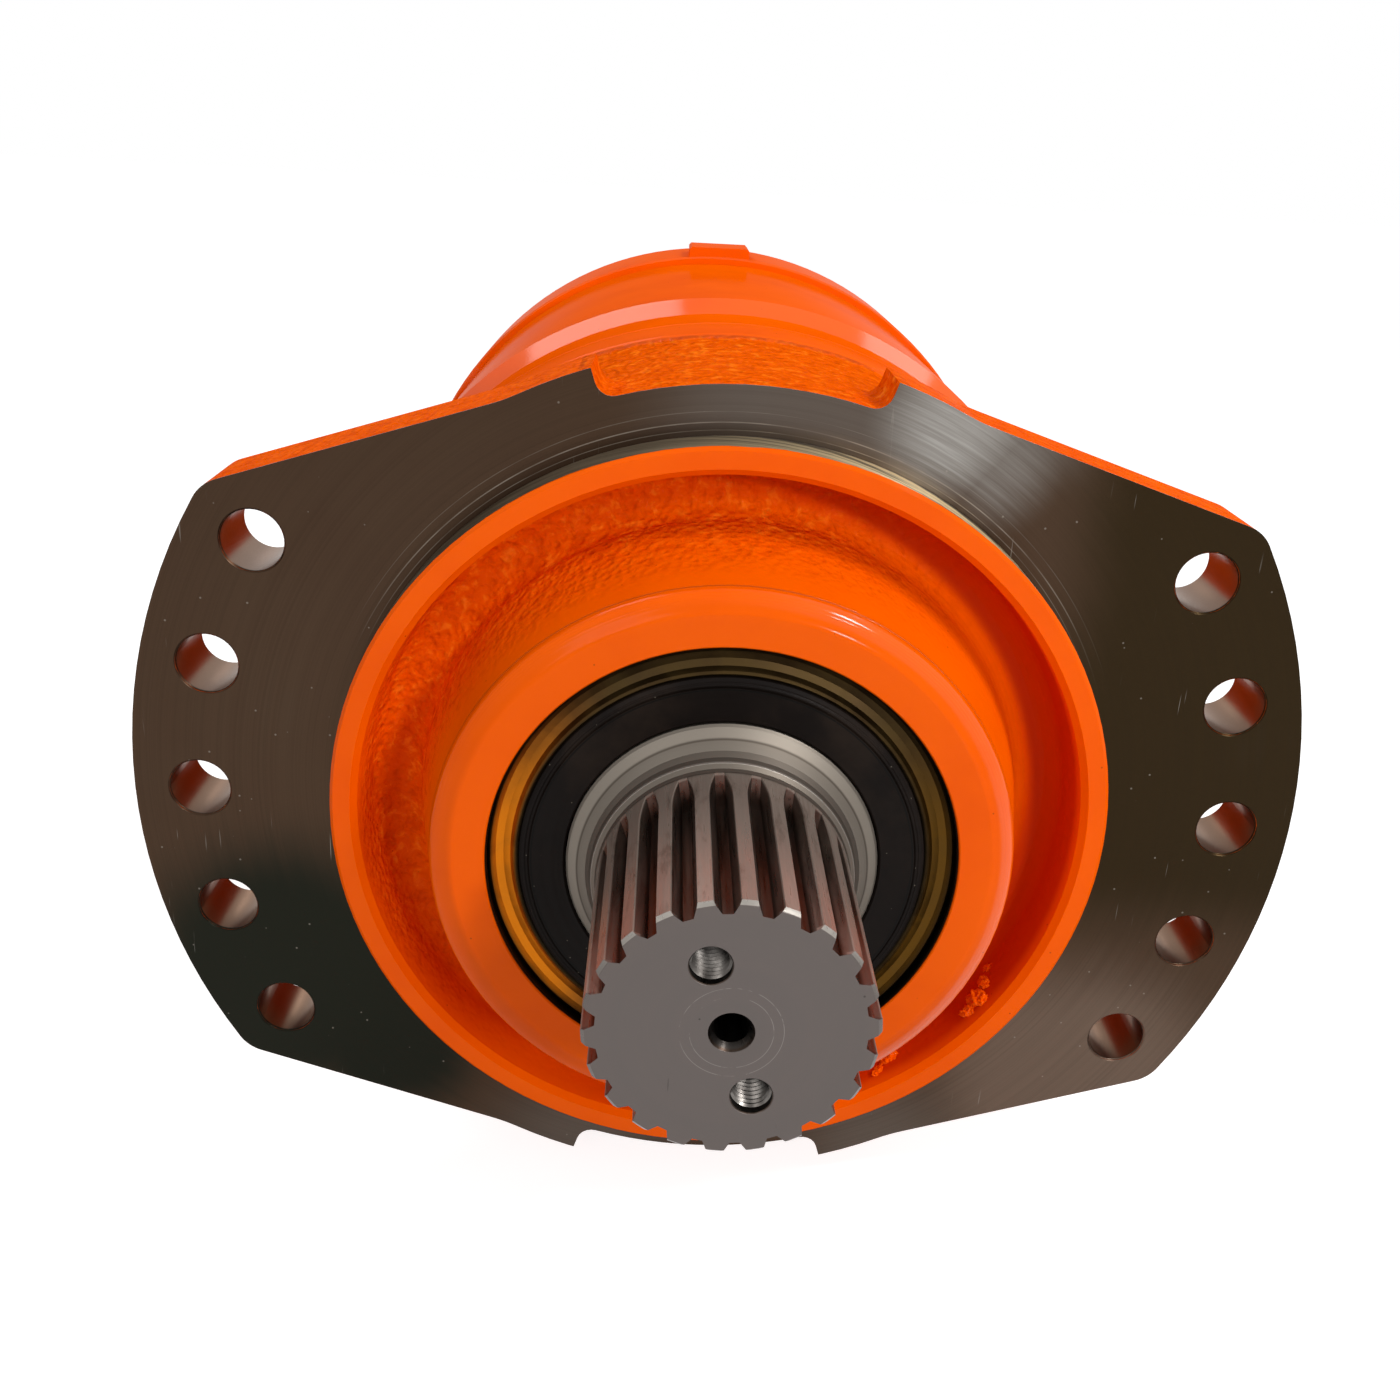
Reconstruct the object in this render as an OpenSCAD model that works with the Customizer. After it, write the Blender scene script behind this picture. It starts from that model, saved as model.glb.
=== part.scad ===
// Radial piston hydraulic motor with a splined shaft, a lobed cam ring, taper roller
// bearings and a spring applied multi-disc brake. All sizes are in millimetres.
// The shaft axis is Y. The flange's mounting face is the plane Y = 0, the shaft points
// to -Y, the rear casing lies on +Y, the flange's ears point to +X and -X, and Z is up.

/* [Mounting flange] */
// Thickness of the flange
flange_t = 26; // [22:0.5:30]
// Radius of the two ear ends
ear_r = 177; // [173:0.5:184]
// How much closer to the axis an ear's straight flank lies than the ear's end
ear_flank_drop = 41.2; // [40:0.2:43]
// How far the flange's round middle stands out past the line of the flanks
flange_body_step = 2.2; // [1.2:0.2:4.2]
// Slope of the straight flank against the X axis, in degrees
ear_flank_slope = 17.8; // [15:0.2:20]
// Radius of the ear's rounded corner
ear_corner_r = 12; // [6:0.5:18]
// Radius of the hollow blend between middle and flank
flank_blend_r = 60; // [40:5:80]
// Half of the angle that a notch takes up
notch_half_angle = 17.7; // [14:0.1:19]
// Radius of the notch's inner corner
notch_corner_r = 5; // [3:0.5:7]
// Distance from the middle of a mounting hole to the ear's end
bolt_edge = 19.5; // [17:0.5:22]
// Radius of a mounting hole
bolt_hole_r = 9; // [7:0.25:10]
// Angle between neighbouring mounting holes
bolt_step_angle = 15; // [13:0.5:15.5]
// Mounting holes in each ear
bolts_per_ear = 5; // [3:2:5]
// Radius of the spot face behind each mounting hole
spot_face_r = 17; // [15:0.5:18]
// Depth of the spot face
spot_face_depth = 2; // [1:0.5:3]

/* [Pilot and hub] */
// Radius of the pilot spigot
pilot_r = 115; // [113:0.5:117]
// Height of the pilot spigot above the flange face
pilot_h = 15; // [10:0.5:18]
// Width of the pilot ring's front face
pilot_ring_w = 6; // [5:0.5:7]
// How far the pilot ring's inner wall leans in, down to the trough
ring_wall_lean = 3; // [1:0.5:4]
// Height of the hub above the flange face
hub_h = 37.4; // [35:0.2:42]
// Radius of the hub's rounded front edge
hub_edge_r = 3; // [1:0.5:5]
// Width of the trough between the hub's root and the pilot ring's wall
trough_w = 15; // [15:0.5:17]
// How much wider the hub is at its root than at its front face
hub_taper = 8.5; // [6:0.5:10]
// Depth of the trough's floor behind the flange face
trough_floor_y = 9; // [4:0.5:12]
// Fillet radius in the trough
trough_fillet_r = 7; // [5:0.5:7.5]

/* [Front casting] */
// Length of the front casting behind the flange face
support_len = 102; // [99:0.5:106]
// How much deeper than the machined rim the neck lies just behind the flange
neck_depth = 3; // [2:0.5:5]
// How much deeper than the machined rim the neck lies at its rear end
neck_rear_depth = 1.4; // [1:0.2:1.8]
// Where the machined rim of the casting starts
rim_y = 77; // [72:0.5:82]
// Step between the casing and the machined rim in front of it
rim_step = 4.5; // [3.5:0.25:5.5]
// Wall between the cored hollow in the rear of the casting and the o-ring's groove
core_wall = 7.2; // [4.2:0.2:13.2]
// Width of the cored hollow
core_w = 24; // [18:0.5:26]
// Depth of the cored hollow
core_depth = 54; // [42:0.5:58]

/* [Cam ring] */
// Length of the cam ring
cam_len = 88; // [84:0.5:92]
// Wall of the cam ring outside the lobes' deepest points
cam_wall = 26.4; // [25.9:0.1:27.9]
// Length of the narrow front part of the cam ring
cam_step_len = 24; // [18:0.5:28]
// Length of the cone between the narrow part and the casing
cam_cone_len = 9; // [6:0.5:11]
// Number of lobes
lobes = 8; // [8:4:8]
// How far the middle of the rollers' path lies outside the cylinder block
cam_block_gap = 4.7; // [4.2:0.1:5]
// Half of the piston stroke
cam_half_stroke = 4.8; // [4:0.1:5]

/* [Cylinder block and pistons] */
// Number of pistons
pistons = 10; // [10:1:10]
// Outer radius of the cylinder block
block_r = 88; // [87.5:0.1:88.5]
// Room in the cam ring in front of the cylinder block
block_room_front = 20; // [18:0.5:22]
// Room in the cam ring behind the cylinder block
block_room_rear = 8; // [7:0.5:10]
// Web between neighbouring cylinder bores, at their floors
bore_web = 2.32; // [2:0.02:2.8]
// Running clearance of a piston in its bore
piston_clearance = 0.04; // [0.02:0.01:0.1]
// Radius of a piston roller
roller_r = 12.6; // [12:0.1:12.7]
// How far a piston roller's corners stay inside the cylinder bore
roller_end_gap = 0.4; // [0.2:0.1:1.5]
// Wall of the half bush
bush_t = 1.2; // [0.8:0.1:1.4]
// Depth of a cylinder bore
bore_depth = 26; // [25.7:0.1:26.5]
// How far a withdrawn roller stays clear of the lobe crests
freewheel_gap = 4.5; // [3:0.1:5]

/* [Shaft] */
// Distance of the shaft's end from the flange face
shaft_reach = 112; // [105:1:125]
// Teeth of the output spline
spline_teeth = 22; // [20:1:24]
// Tip radius of the output spline
spline_tip_r = 35; // [34.5:0.1:35.4]
// Depth of the output spline's grooves
spline_depth = 3.3; // [2.8:0.1:3.8]
// Width of a spline groove at its root
spline_root_w = 2.5; // [2:0.1:3]
// Angle of a groove's flank
spline_flank_angle = 32; // [28:1:34]
// Where the full depth of the grooves ends, in front of the flange face
spline_full_y = 60; // [56:1:66]
// Radius of the cutter that leaves the groove run-outs
spline_cutter_r = 28; // [22:1:34]
// Angle of the first groove from the X axis
spline_phase = 94.785; // [90:0.005:106]
// Radius of the seal track
seal_track_r = 44; // [43.5:0.1:44.5]
// Radius of the shaft collar behind the seal
collar_r = 50; // [48:0.5:52]
// Radius of the tapped holes in the shaft's end
end_hole_r = 5; // [4:0.25:6]
// Depth of the tapped holes in the shaft's end
end_hole_depth = 24; // [18:1:30]
// Distance of the tapped holes from the shaft's axis
end_hole_offset = 18.75; // [17:0.25:20]
// Angle of the tapped holes from the X axis
end_hole_angle = 107.8; // [90:0.1:120]
// Mouth radius of the centre hole
centre_mouth_r = 5.6; // [5:0.1:7]
// Radius of the centre hole
centre_hole_r = 4.25; // [3.5:0.05:4.8]
// Teeth of the inner spline that carries the cylinder block
inner_teeth = 24; // [20:1:28]
// Tip radius of the inner spline
inner_tip_r = 38; // [37.6:0.1:38.3]
// Depth of the inner spline's grooves
inner_depth = 2.4; // [2:0.1:3]
// Clearance of the inner spline
spline_clearance = 0.05; // [0.03:0.01:0.1]

/* [Bearings] */
// Bore radius of the front bearing
front_bore_r = 42.5; // [42:0.1:43]
// Bore radius of the rear bearing
rear_bore_r = 40; // [39.5:0.1:40.5]
// Height of a bearing's section, from its bore to its outside
bearing_section = 22.5; // [22:0.1:23]
// Overall width of a bearing
bearing_w = 29; // [28.5:0.1:30]
// Width of a bearing's outer ring
cup_w = 22; // [21:0.1:22.5]
// Rollers in each bearing
bearing_rollers = 20; // [16:1:20]
// Middle radius of a bearing roller
bearing_roller_r = 5.2; // [4.8:0.1:5.4]
// Length of a bearing roller
bearing_roller_len = 19; // [17:0.5:20]
// Angle of a roller's axis to the shaft's axis
roller_tilt = 12.3; // [11:0.1:13]
// Half of the taper angle of a roller
roller_taper = 1.75; // [1.5:0.05:2]
// Play between the rollers and the rings
bearing_play = 0.3; // [0.05:0.05:0.35]
// Where the front bearing's inner ring starts, in front of the flange face
front_bearing_y = -10; // [-12:0.5:-9]
// Where the rear bearing's outer ring starts, behind the flange face
rear_bearing_y = 58; // [55:0.5:59]

/* [Seal] */
// Radius of the seal's bore in the hub
seal_bore_r = 66.25; // [65.75:0.05:67]
// Width of the seal's metal ring
seal_ring_w = 8.75; // [7.75:0.25:10.25]
// How far the rubber face lies behind the hub's face
seal_recess = 2.2; // [1.5:0.1:4]
// Depth of the seal bore
seal_bore_depth = 19; // [17:0.5:20]

/* [Distributor and rear cover] */
// Length of the rear cover
cover_len = 78; // [74:0.5:84]
// How far the distributor's large land lies inside the block's outside
land_inset = 4; // [3:0.5:5]
// Step between neighbouring lands
land_step = 2; // [1.5:0.25:2.5]
// Depth of the waists between the lands
waist_depth = 6.5; // [6:0.25:7]
// How far the distributor's face ports lie inside its large land
port_inset = 14; // [13:0.5:15]
// Radius of a face port
face_port_r = 4.5; // [3.5:0.1:5]
// Radius of the main ports' thread
main_port_r = 16.6; // [14:0.1:17]
// Depth of the main ports' thread
main_port_depth = 20; // [16:0.5:22]
// How far the main ports' faces stand out past the casing
port_boss_h = 9.5; // [6.5:0.5:13.5]
// Angle between each main port and straight down
port_angle = 45; // [40:1:47]
// Radius of the drain ports' thread
drain_port_r = 8.3; // [7:0.1:9]

/* [Brake] */
// Length of the brake cover
brake_len = 57; // [55:0.5:64]
// How far the brake cover stands out past the casing
brake_cover_step = 3; // [2:0.25:4.5]
// Thickness of the brake cover's rear wall
brake_wall = 10; // [8:0.5:11]
// Number of friction discs
friction_disc_count = 4; // [3:1:5]
// Wall between the brake screws' heads and the brake piston's large bore
chamber_wall = 8.5; // [7.5:0.5:10]
// Width of the plates' rim outside the friction discs, lugs and running gap included
plate_rim_w = 6; // [5:0.5:7]
// Step from the plates' bore to the small bore of the brake piston
plate_bore_step = 8; // [7:0.5:9]
// Step between the two bores of the brake piston
brake_bore_step = 8; // [7:0.5:9]
// Travel of the brake piston
brake_travel = 1.5; // [1:0.1:1.8]
// Half width of the cast pad on top of the brake cover's front edge
pad_half_w = 13.5; // [10:0.5:16]
// How far the cast pad stands out past the brake cover
pad_rise = 3.8; // [2:0.2:5]

/* [Screws] */
// Number of long screws that clamp the casings
motor_screw_count = 16; // [16:1:16]
// Distance from the long screws to the casing's outside
screw_edge = 14; // [13.7:0.1:14.3]
// Shank radius of the long screws
screw_r = 5; // [4.5:0.1:5.2]
// Head radius of the long screws
screw_head_r = 8; // [7.5:0.1:8.3]
// Head height of the long screws
screw_head_h = 10; // [8:0.5:10]
// Number of brake screws
brake_screw_count = 8; // [4:4:8]
// Shank radius of the brake screws
brake_screw_r = 4; // [3.5:0.1:4.5]
// Head radius of the brake screws
brake_screw_head_r = 6.5; // [6:0.25:7]
// Head height of the brake screws
brake_screw_head_h = 8; // [7:0.5:8]
// Distance from the brake screws to the brake cover's outside
brake_screw_edge = 12.5; // [11.5:0.5:13]

/* [Hidden] */

$fn = 96;
ORANGE = "#f25c05";
STEEL = "#8b8a88";
DARK_STEEL = "#57514b";
RUBBER = "#1b1715";
BRONZE = "#a5793c";
YELLOW_ZINC = "#8f6f22";

// Small overlap that keeps cuts clean, and how far a cutter runs past the face it opens
eps = 0.05;
run = 1;
// Clearance of parts that are pushed in by hand, and of the threads
fit_gap = 0.04;
// Film between faces that slide or lie on each other
film = 0.05;
// Clearance holes are wider than their screws by this much
screw_gap = 0.5;
// Chamfers on machined edges and on fine edges
edge = 1;
fine_edge = 0.5;
// Radius of the turned blanks' middles, inside every bore that is cut later
core_r = 20;

// Cylinder block, pistons and cam
bore_floor_r = block_r - bore_depth;
piston_r = bore_floor_r * sin(180 / pistons) - bore_web / 2;
bore_r = piston_r + piston_clearance;
piston_foot_r = bore_floor_r + fine_edge;
roller_len = 2 * sqrt(pow(piston_r - roller_end_gap, 2) - pow(roller_r, 2));
seat_r = roller_r + bush_t + film;
cam_mean_r = block_r + cam_block_gap;
cam_crest_r = cam_mean_r - cam_half_stroke;
roller_rest_r = cam_crest_r - freewheel_gap;
piston_step = 360 / pistons;

// Casings, from front to rear
casing_r = cam_mean_r + cam_half_stroke + roller_r + cam_wall;
rim_r = casing_r - rim_step;
neck_front_r = rim_r - neck_depth;
neck_rear_r = rim_r - neck_rear_depth;
brake_cover_r = casing_r + brake_cover_step;
cam_y = support_len;
cover_y = cam_y + cam_len;
brake_y = cover_y + cover_len;
rear_y = brake_y + brake_len;
block_front_y = cam_y + block_room_front;
block_rear_y = cover_y - block_room_rear;
block_y = (block_front_y + block_rear_y) / 2;

// Screws, dowels and static o-rings between the casings
screw_circle_r = casing_r - screw_edge;
motor_screw_phase = 180 / motor_screw_count;
brake_screw_circle_r = brake_cover_r - brake_screw_edge;
screw_head_y = brake_y - screw_head_h - edge;
screw_tip_y = support_len - 22;
brake_screw_tip_y = brake_y - 16;
brake_head_y = rear_y - brake_screw_head_h - edge;
tap_runout = 4;
dowel_r = 4;
dowel_len = 16;
dowel_angles = [90, 270];
o_ring_r = screw_circle_r - 9.5;
o_ring_groove = 3.6;
o_ring_depth = 2.4;

// Flange and front casting
bolt_circle_r = ear_r - bolt_edge;
ear_flank_d = ear_r - ear_flank_drop;
flange_body_r = ear_flank_d + flange_body_step;
notch_r = neck_front_r;
hole_chamfer = 0.6;
pilot_ring_inner_r = pilot_r - pilot_ring_w;
trough_wall_r = pilot_ring_inner_r - ring_wall_lean;
hub_root_r = trough_wall_r - trough_w;
hub_face_r = hub_root_r - hub_taper;
core_outer_r = o_ring_r - o_ring_groove / 2 - core_wall;
core_inner_r = core_outer_r - core_w;
core_y = support_len - core_depth;

// Bearings, nut and seal
front_outer_r = front_bore_r + bearing_section;
rear_outer_r = rear_bore_r + bearing_section;
front_bearing_end = front_bearing_y + bearing_w;
rear_bearing_end = rear_bearing_y + bearing_w;
spline_root_r = spline_tip_r - spline_depth;
inner_root_r = inner_tip_r - inner_depth;
thread_r = rear_bore_r - edge;
nut_y = rear_bearing_end + 1.6;
nut_w = 11;
nut_end_y = nut_y + nut_w;
nut_wall = 13;
washer_t = 1.45;
shaft_end_y = block_y + 8;
collar_y = front_bearing_y - 8;
seal_joint_r = seal_bore_r - seal_ring_w;
seal_face_y = -hub_h + seal_recess;
seal_end_y = -hub_h + seal_bore_depth - fine_edge;

// Distributor: three lands with two waists, and galleries in the cover round the waists
land_r = block_r - land_inset;
land_2_r = land_r - land_step;
land_3_r = land_r - 2 * land_step;
waist_1_r = land_r - waist_depth;
waist_2_r = waist_1_r - edge;
port_circle_r = land_r - port_inset;
dist_front_y = block_rear_y + film;
land_w = 16;
waist_w = 8;
rear_land_w = 10;
waist_1_y = dist_front_y + land_w;
land_2_y = waist_1_y + waist_w;
waist_2_y = land_2_y + waist_w;
land_3_y = waist_2_y + waist_w;
dist_rear_y = land_3_y + rear_land_w;
cover_bore_end = dist_rear_y + 3;
dist_bore_r = 33;
land_gap = 0.15;
gallery_depth = 6;
gallery_lap = 1;
seal_groove = 3;
seal_places = [[land_r, waist_1_y - 8], [land_2_r, land_2_y + 4], [land_3_r, land_3_y + 5]];
feed_y = [waist_1_y + 4, waist_2_y + 4];
spring_count = 6;
spring_circle_r = port_circle_r - 15;
spring_pocket_r = 4.2;
spring_pocket_depth = 8;
pin_r = 3;
pin_gap = 0.1;
pin_depth = 8;
pin_angles = [30, 210];

// Ports of the rear cover
port_face_r = casing_r + port_boss_h;
port_y = cover_y + 26;
port_angles = [270 - port_angle, 270 + port_angle];
port_boss_r = main_port_r + 9;
port_feed_r = 7;
boss_root = 14;
drain_boss_r = drain_port_r + 5.5;
drain_y = cover_y + drain_boss_r + 1;
drain_face_r = casing_r + 2;
drain_angles = [0, 180];
drain_depth = 14;
drain_feed_r = 4;
plug_washer_t = 1.5;

// Brake: pack of plates and discs between the rear cover and the brake piston
brake_piston_large_r = brake_screw_circle_r - brake_screw_head_r - chamber_wall;
brake_piston_small_r = brake_piston_large_r - brake_bore_step;
plate_bore_r = brake_piston_small_r - plate_bore_step;
friction_r = plate_bore_r - plate_rim_w;
brake_seal_groove_r = plate_bore_r + 8.5;
pack_count = 2 * friction_disc_count + 1;
pack_len = 21;
plate_t = (pack_len - (pack_count + 1) * film) / pack_count;
piston_front_y = brake_y + pack_len;
brake_floor_y = rear_y - brake_wall;
brake_step_y = brake_floor_y - 15;
piston_nose = 1.5;
piston_shoulder_y = brake_step_y + brake_travel;
piston_rear_y = brake_floor_y - 6;
brake_seal_places = [
    [brake_piston_small_r, (piston_front_y + piston_nose + brake_step_y) / 2],
    [brake_piston_large_r, (piston_shoulder_y + piston_rear_y) / 2]
];
hub_r = 62;
hub_teeth = 30;
hub_tooth_h = 3;
plate_inner_r = hub_r + 6;
lugs = 8;
lug_half_w = 6;
lug_reach = 3;
lug_gap = 0.4;
release_port_r = 11;
brake_port_r = 6;
brake_port_angle = 202.5;
brake_port_face_r = brake_cover_r - 1.5;
brake_port_y = brake_step_y + 3;
brake_port_depth = 14;
pad_len = 26;
function pack_y(i) = brake_y + film + i * (plate_t + film);

// Solid of revolution about the motor's axis from points [radius, y]
module turned(points) {
    rotate([-90, 0, 0]) rotate_extrude($fn = 180) polygon(points);
}

// Outline in X and Z, made solid from y0 to y1
module plate(y0, y1) {
    rotate([90, 0, 0]) translate([0, 0, -y1]) linear_extrude(height = y1 - y0) children();
}

// Round bar along Y
module rod(r, y0, y1) {
    rotate([-90, 0, 0]) translate([0, 0, y0]) cylinder(r = r, h = y1 - y0);
}

// Cone along Y
module taper(r0, r1, y0, y1) {
    rotate([-90, 0, 0]) translate([0, 0, y0]) cylinder(r1 = r0, r2 = r1, h = y1 - y0);
}

// Moves what is drawn at the axis out to a radius and an angle from +X towards +Z
module at(r, angle) {
    rotate([0, -angle, 0]) translate([r, 0, 0]) children();
}

// Copies round the axis at one radius
module around(count, r = 0, phase = 0) {
    for (i = [0:count - 1]) at(r, phase + i * 360 / count) children();
}

// Places of the long screws, and of the brake screws
module at_motor_screws() {
    around(motor_screw_count, screw_circle_r, motor_screw_phase) children();
}

module at_brake_screws() {
    around(brake_screw_count, brake_screw_circle_r) children();
}

// Ring with a rectangular section
module ring(r0, r1, y0, y1) {
    turned([[r0, y0], [r1, y0], [r1, y1], [r0, y1]]);
}

// Ring with a round section
module cord_ring(r, y, section_r) {
    rotate([-90, 0, 0]) translate([0, 0, y]) rotate_extrude()
        translate([r, 0]) circle(r = section_r, $fn = 24);
}

// Hole along the local X axis, from radius r0 to r1
module radial_hole(r, r0, r1, y) {
    translate([r0, y, 0]) rotate([0, 90, 0]) cylinder(r = r, h = r1 - r0);
}

// Groove of a round seal in an outer wall of radius r, square in section
module seal_slot(r, y, depth, w) {
    ring(r - depth, r + run, y - w / 2, y + w / 2);
}

function polar(r, angle) = [r * cos(angle), r * sin(angle)];
function arc(centre, r, from, to, n) =
    [for (i = [0:n]) centre + polar(r, from + (to - from) * i / n)];
function mirror_x(points) = [for (i = [len(points) - 1:-1:0]) [-points[i][0], points[i][1]]];
function mirror_y(points) = [for (i = [len(points) - 1:-1:0]) [points[i][0], -points[i][1]]];

// Flange outline, one quadrant from the top to the ear's tip
flank_normal = 90 - ear_flank_slope;
blend_turn = acos((ear_flank_d + flank_blend_r) / (flange_body_r + flank_blend_r));
blend_centre_angle = flank_normal - blend_turn;
blend_centre = polar(flange_body_r + flank_blend_r, blend_centre_angle);
corner_turn = acos((ear_flank_d - ear_corner_r) / (ear_r - ear_corner_r));
corner_angle = flank_normal - corner_turn;
corner_centre = polar(ear_r - ear_corner_r, corner_angle);
quadrant = concat(
    arc([0, 0], flange_body_r, 90, blend_centre_angle, 10),
    arc(blend_centre, flank_blend_r, 180 + blend_centre_angle, 180 + flank_normal, 4),
    arc(corner_centre, ear_corner_r, flank_normal, corner_angle, 8),
    [for (i = [1:12]) polar(ear_r, corner_angle * (1 - i / 12))]
);
right_half = concat(quadrant, mirror_y(quadrant));

module flange_outline() {
    polygon(concat(right_half, mirror_x(right_half)));
}

// Notch in the flange's edge, drawn about the X axis
notch_corner_turn = asin(notch_corner_r / (notch_r + notch_corner_r));
notch_floor_end = notch_half_angle - notch_corner_turn;
notch_corner = polar(notch_r + notch_corner_r, notch_floor_end);
notch_reach = flange_body_r + 10;
notch_half = concat(
    [for (i = [0:6]) polar(notch_r, notch_floor_end * i / 6)],
    arc(notch_corner, notch_corner_r, 180 + notch_floor_end, 90 + notch_half_angle, 5),
    [polar(notch_reach, notch_half_angle)]
);

module notch_outline() {
    polygon(concat(mirror_y(notch_half), notch_half));
}

// Mounting holes of both ears
bolt_angles = [for (side = [0, 180], i = [0:bolts_per_ear - 1])
    side + (i - (bolts_per_ear - 1) / 2) * bolt_step_angle];
spot_cut = 12;

module mounting_holes() {
    for (a = bolt_angles) at(bolt_circle_r, a) {
        rod(bolt_hole_r, -eps, flange_t + eps);
        taper(bolt_hole_r + hole_chamfer, bolt_hole_r, -eps, hole_chamfer);
        rod(spot_face_r, flange_t - spot_face_depth, flange_t + spot_cut);
    }
}

// Trough between the hub and the pilot ring, as [radius, y] points
trough_fillet = min(trough_fillet_r, trough_w / 2);
fillet_start = 195;
trough_floor_outer = [trough_wall_r - trough_fillet, trough_floor_y - trough_fillet];
trough_floor_inner = [hub_root_r + trough_fillet * 0.9, trough_floor_y - trough_fillet];
trough_points = concat(
    [[hub_face_r - hub_edge_r, -hub_h - run]],
    arc([hub_face_r - hub_edge_r, -hub_h + hub_edge_r], hub_edge_r, -90, 0, 6),
    arc(trough_floor_inner, trough_fillet, fillet_start, 90, 8),
    arc(trough_floor_outer, trough_fillet, 90, 0, 8),
    [[trough_wall_r + 1.2, -pilot_h + 2], [pilot_ring_inner_r, -pilot_h]],
    [[pilot_ring_inner_r, -hub_h - run]]
);

// The neck starts a little behind the front face, so the flange and the neck join inside
neck_y = 4;

module casting_body() {
    turned([
        [core_r, -hub_h], [pilot_ring_inner_r - edge, -hub_h], [pilot_ring_inner_r - edge, -pilot_h],
        [pilot_r - edge, -pilot_h], [pilot_r, -pilot_h + edge], [pilot_r, neck_y + edge],
        [core_r, neck_y + edge]
    ]);
    turned([
        [core_r, neck_y], [neck_front_r, neck_y], [neck_front_r, flange_t + 2 * edge],
        [neck_rear_r, rim_y - 1.5 * edge], [rim_r - fine_edge / 2, rim_y], [rim_r, rim_y + fine_edge],
        [rim_r, support_len - edge], [rim_r - edge, support_len], [core_r, support_len]
    ]);
    difference() {
        plate(0, flange_t) flange_outline();
        for (a = [90, 270]) rotate([0, -a, 0]) plate(-eps, flange_t + eps) notch_outline();
    }
}

// Seal bore, bearing seats and the shoulders between them
bearing_shoulder = 6;
bearing_relief = 3;
web_step = 8;
seal_lead = 0.8;

module bearing_bores() {
    turned([
        [0, -hub_h - run], [seal_bore_r + seal_lead, -hub_h - run], [seal_bore_r + seal_lead, -hub_h],
        [seal_bore_r, -hub_h + seal_lead], [seal_bore_r, -hub_h + seal_bore_depth],
        [front_outer_r + fit_gap, -hub_h + seal_bore_depth],
        [front_outer_r + fit_gap, front_bearing_end],
        [front_outer_r - bearing_shoulder, front_bearing_end],
        [front_outer_r - bearing_shoulder, rear_bearing_y],
        [rear_outer_r + fit_gap, rear_bearing_y],
        [rear_outer_r + fit_gap, rear_bearing_end + bearing_relief],
        [core_inner_r - web_step, rear_bearing_end + bearing_relief + edge],
        [core_inner_r - web_step, support_len + run], [0, support_len + run]
    ]);
}

// Cored hollow behind the bearings, with drafted walls
core_draft = 2;
core_corner = 6;

module cored_hollow() {
    turned([
        [core_inner_r + core_draft, core_y + core_corner], [core_inner_r + core_corner, core_y],
        [core_outer_r - core_corner, core_y], [core_outer_r, core_y + core_corner],
        [core_outer_r, support_len + run], [core_inner_r, support_len + run]
    ]);
}

// Half of a static o-ring's groove, open at the face y
module o_ring_slot(r, y0, y1) {
    ring(r - o_ring_groove / 2, r + o_ring_groove / 2, y0, y1);
}

module dowel_hole(y0, y1) {
    for (a = dowel_angles) at(screw_circle_r, a) rod(dowel_r + fit_gap, y0, y1);
}

dowel_hole_len = dowel_len / 2 + fine_edge;

module bearing_support() color(ORANGE) difference() {
    casting_body();
    turned(trough_points);
    mounting_holes();
    bearing_bores();
    cored_hollow();
    o_ring_slot(o_ring_r, support_len - o_ring_depth, support_len + eps);
    at_motor_screws() rod(screw_r + fit_gap, screw_tip_y - tap_runout, support_len + eps);
    dowel_hole(support_len - dowel_hole_len, support_len + eps);
}

// Cam profile: the roller centre's path, set off outwards by the roller's radius
cam_steps = 320;
function path_r(a) = cam_mean_r + cam_half_stroke * cos(lobes * a);
function path_slope(a) = -cam_half_stroke * lobes * sin(lobes * a);
function cam_point(a) = let(
    ahead = path_slope(a) * polar(1, a),
    across = path_r(a) * polar(1, a + 90),
    tangent = ahead + across,
    outward = [tangent[1], -tangent[0]] / norm(tangent)
) polar(path_r(a), a) + roller_r * outward;

module cam_outline() {
    polygon([for (i = [0:cam_steps - 1]) cam_point(i * 360 / cam_steps)]);
}

module cam_ring() color(ORANGE) difference() {
    turned([
        [core_r, cam_y], [rim_r - fine_edge, cam_y], [rim_r, cam_y + fine_edge],
        [rim_r, cam_y + cam_step_len],
        [casing_r, cam_y + cam_step_len + cam_cone_len], [casing_r, cover_y], [core_r, cover_y]
    ]);
    plate(cam_y - run, cover_y + run) cam_outline();
    at_motor_screws() rod(screw_r + screw_gap, cam_y - run, cover_y + run);
    dowel_hole(cam_y - run, cam_y + dowel_hole_len);
    dowel_hole(cover_y - dowel_hole_len, cover_y + run);
}

// Bore of the rear cover, stepped for the lands, with a gallery round each waist
module distributor_bore() {
    turned([
        [0, cover_y - run], [land_r + land_gap, cover_y - run], [land_r + land_gap, waist_1_y - 3],
        [land_r + gallery_depth, waist_1_y - gallery_lap], [land_r + gallery_depth, land_2_y + gallery_lap],
        [land_2_r + land_gap, land_2_y + gallery_lap], [land_2_r + land_gap, waist_2_y - gallery_lap],
        [land_2_r + gallery_depth, waist_2_y - gallery_lap],
        [land_2_r + gallery_depth, land_3_y + gallery_lap],
        [land_3_r + land_gap, land_3_y + gallery_lap], [land_3_r + land_gap, cover_bore_end],
        [dist_bore_r, cover_bore_end], [dist_bore_r, brake_y + run], [0, brake_y + run]
    ]);
}

// Ring-shaped hollow in the cover's front that the case drain runs from
hollow_inner_r = land_r + 10;
hollow_outer_r = land_r + 22;
hollow_depth = 9;

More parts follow.
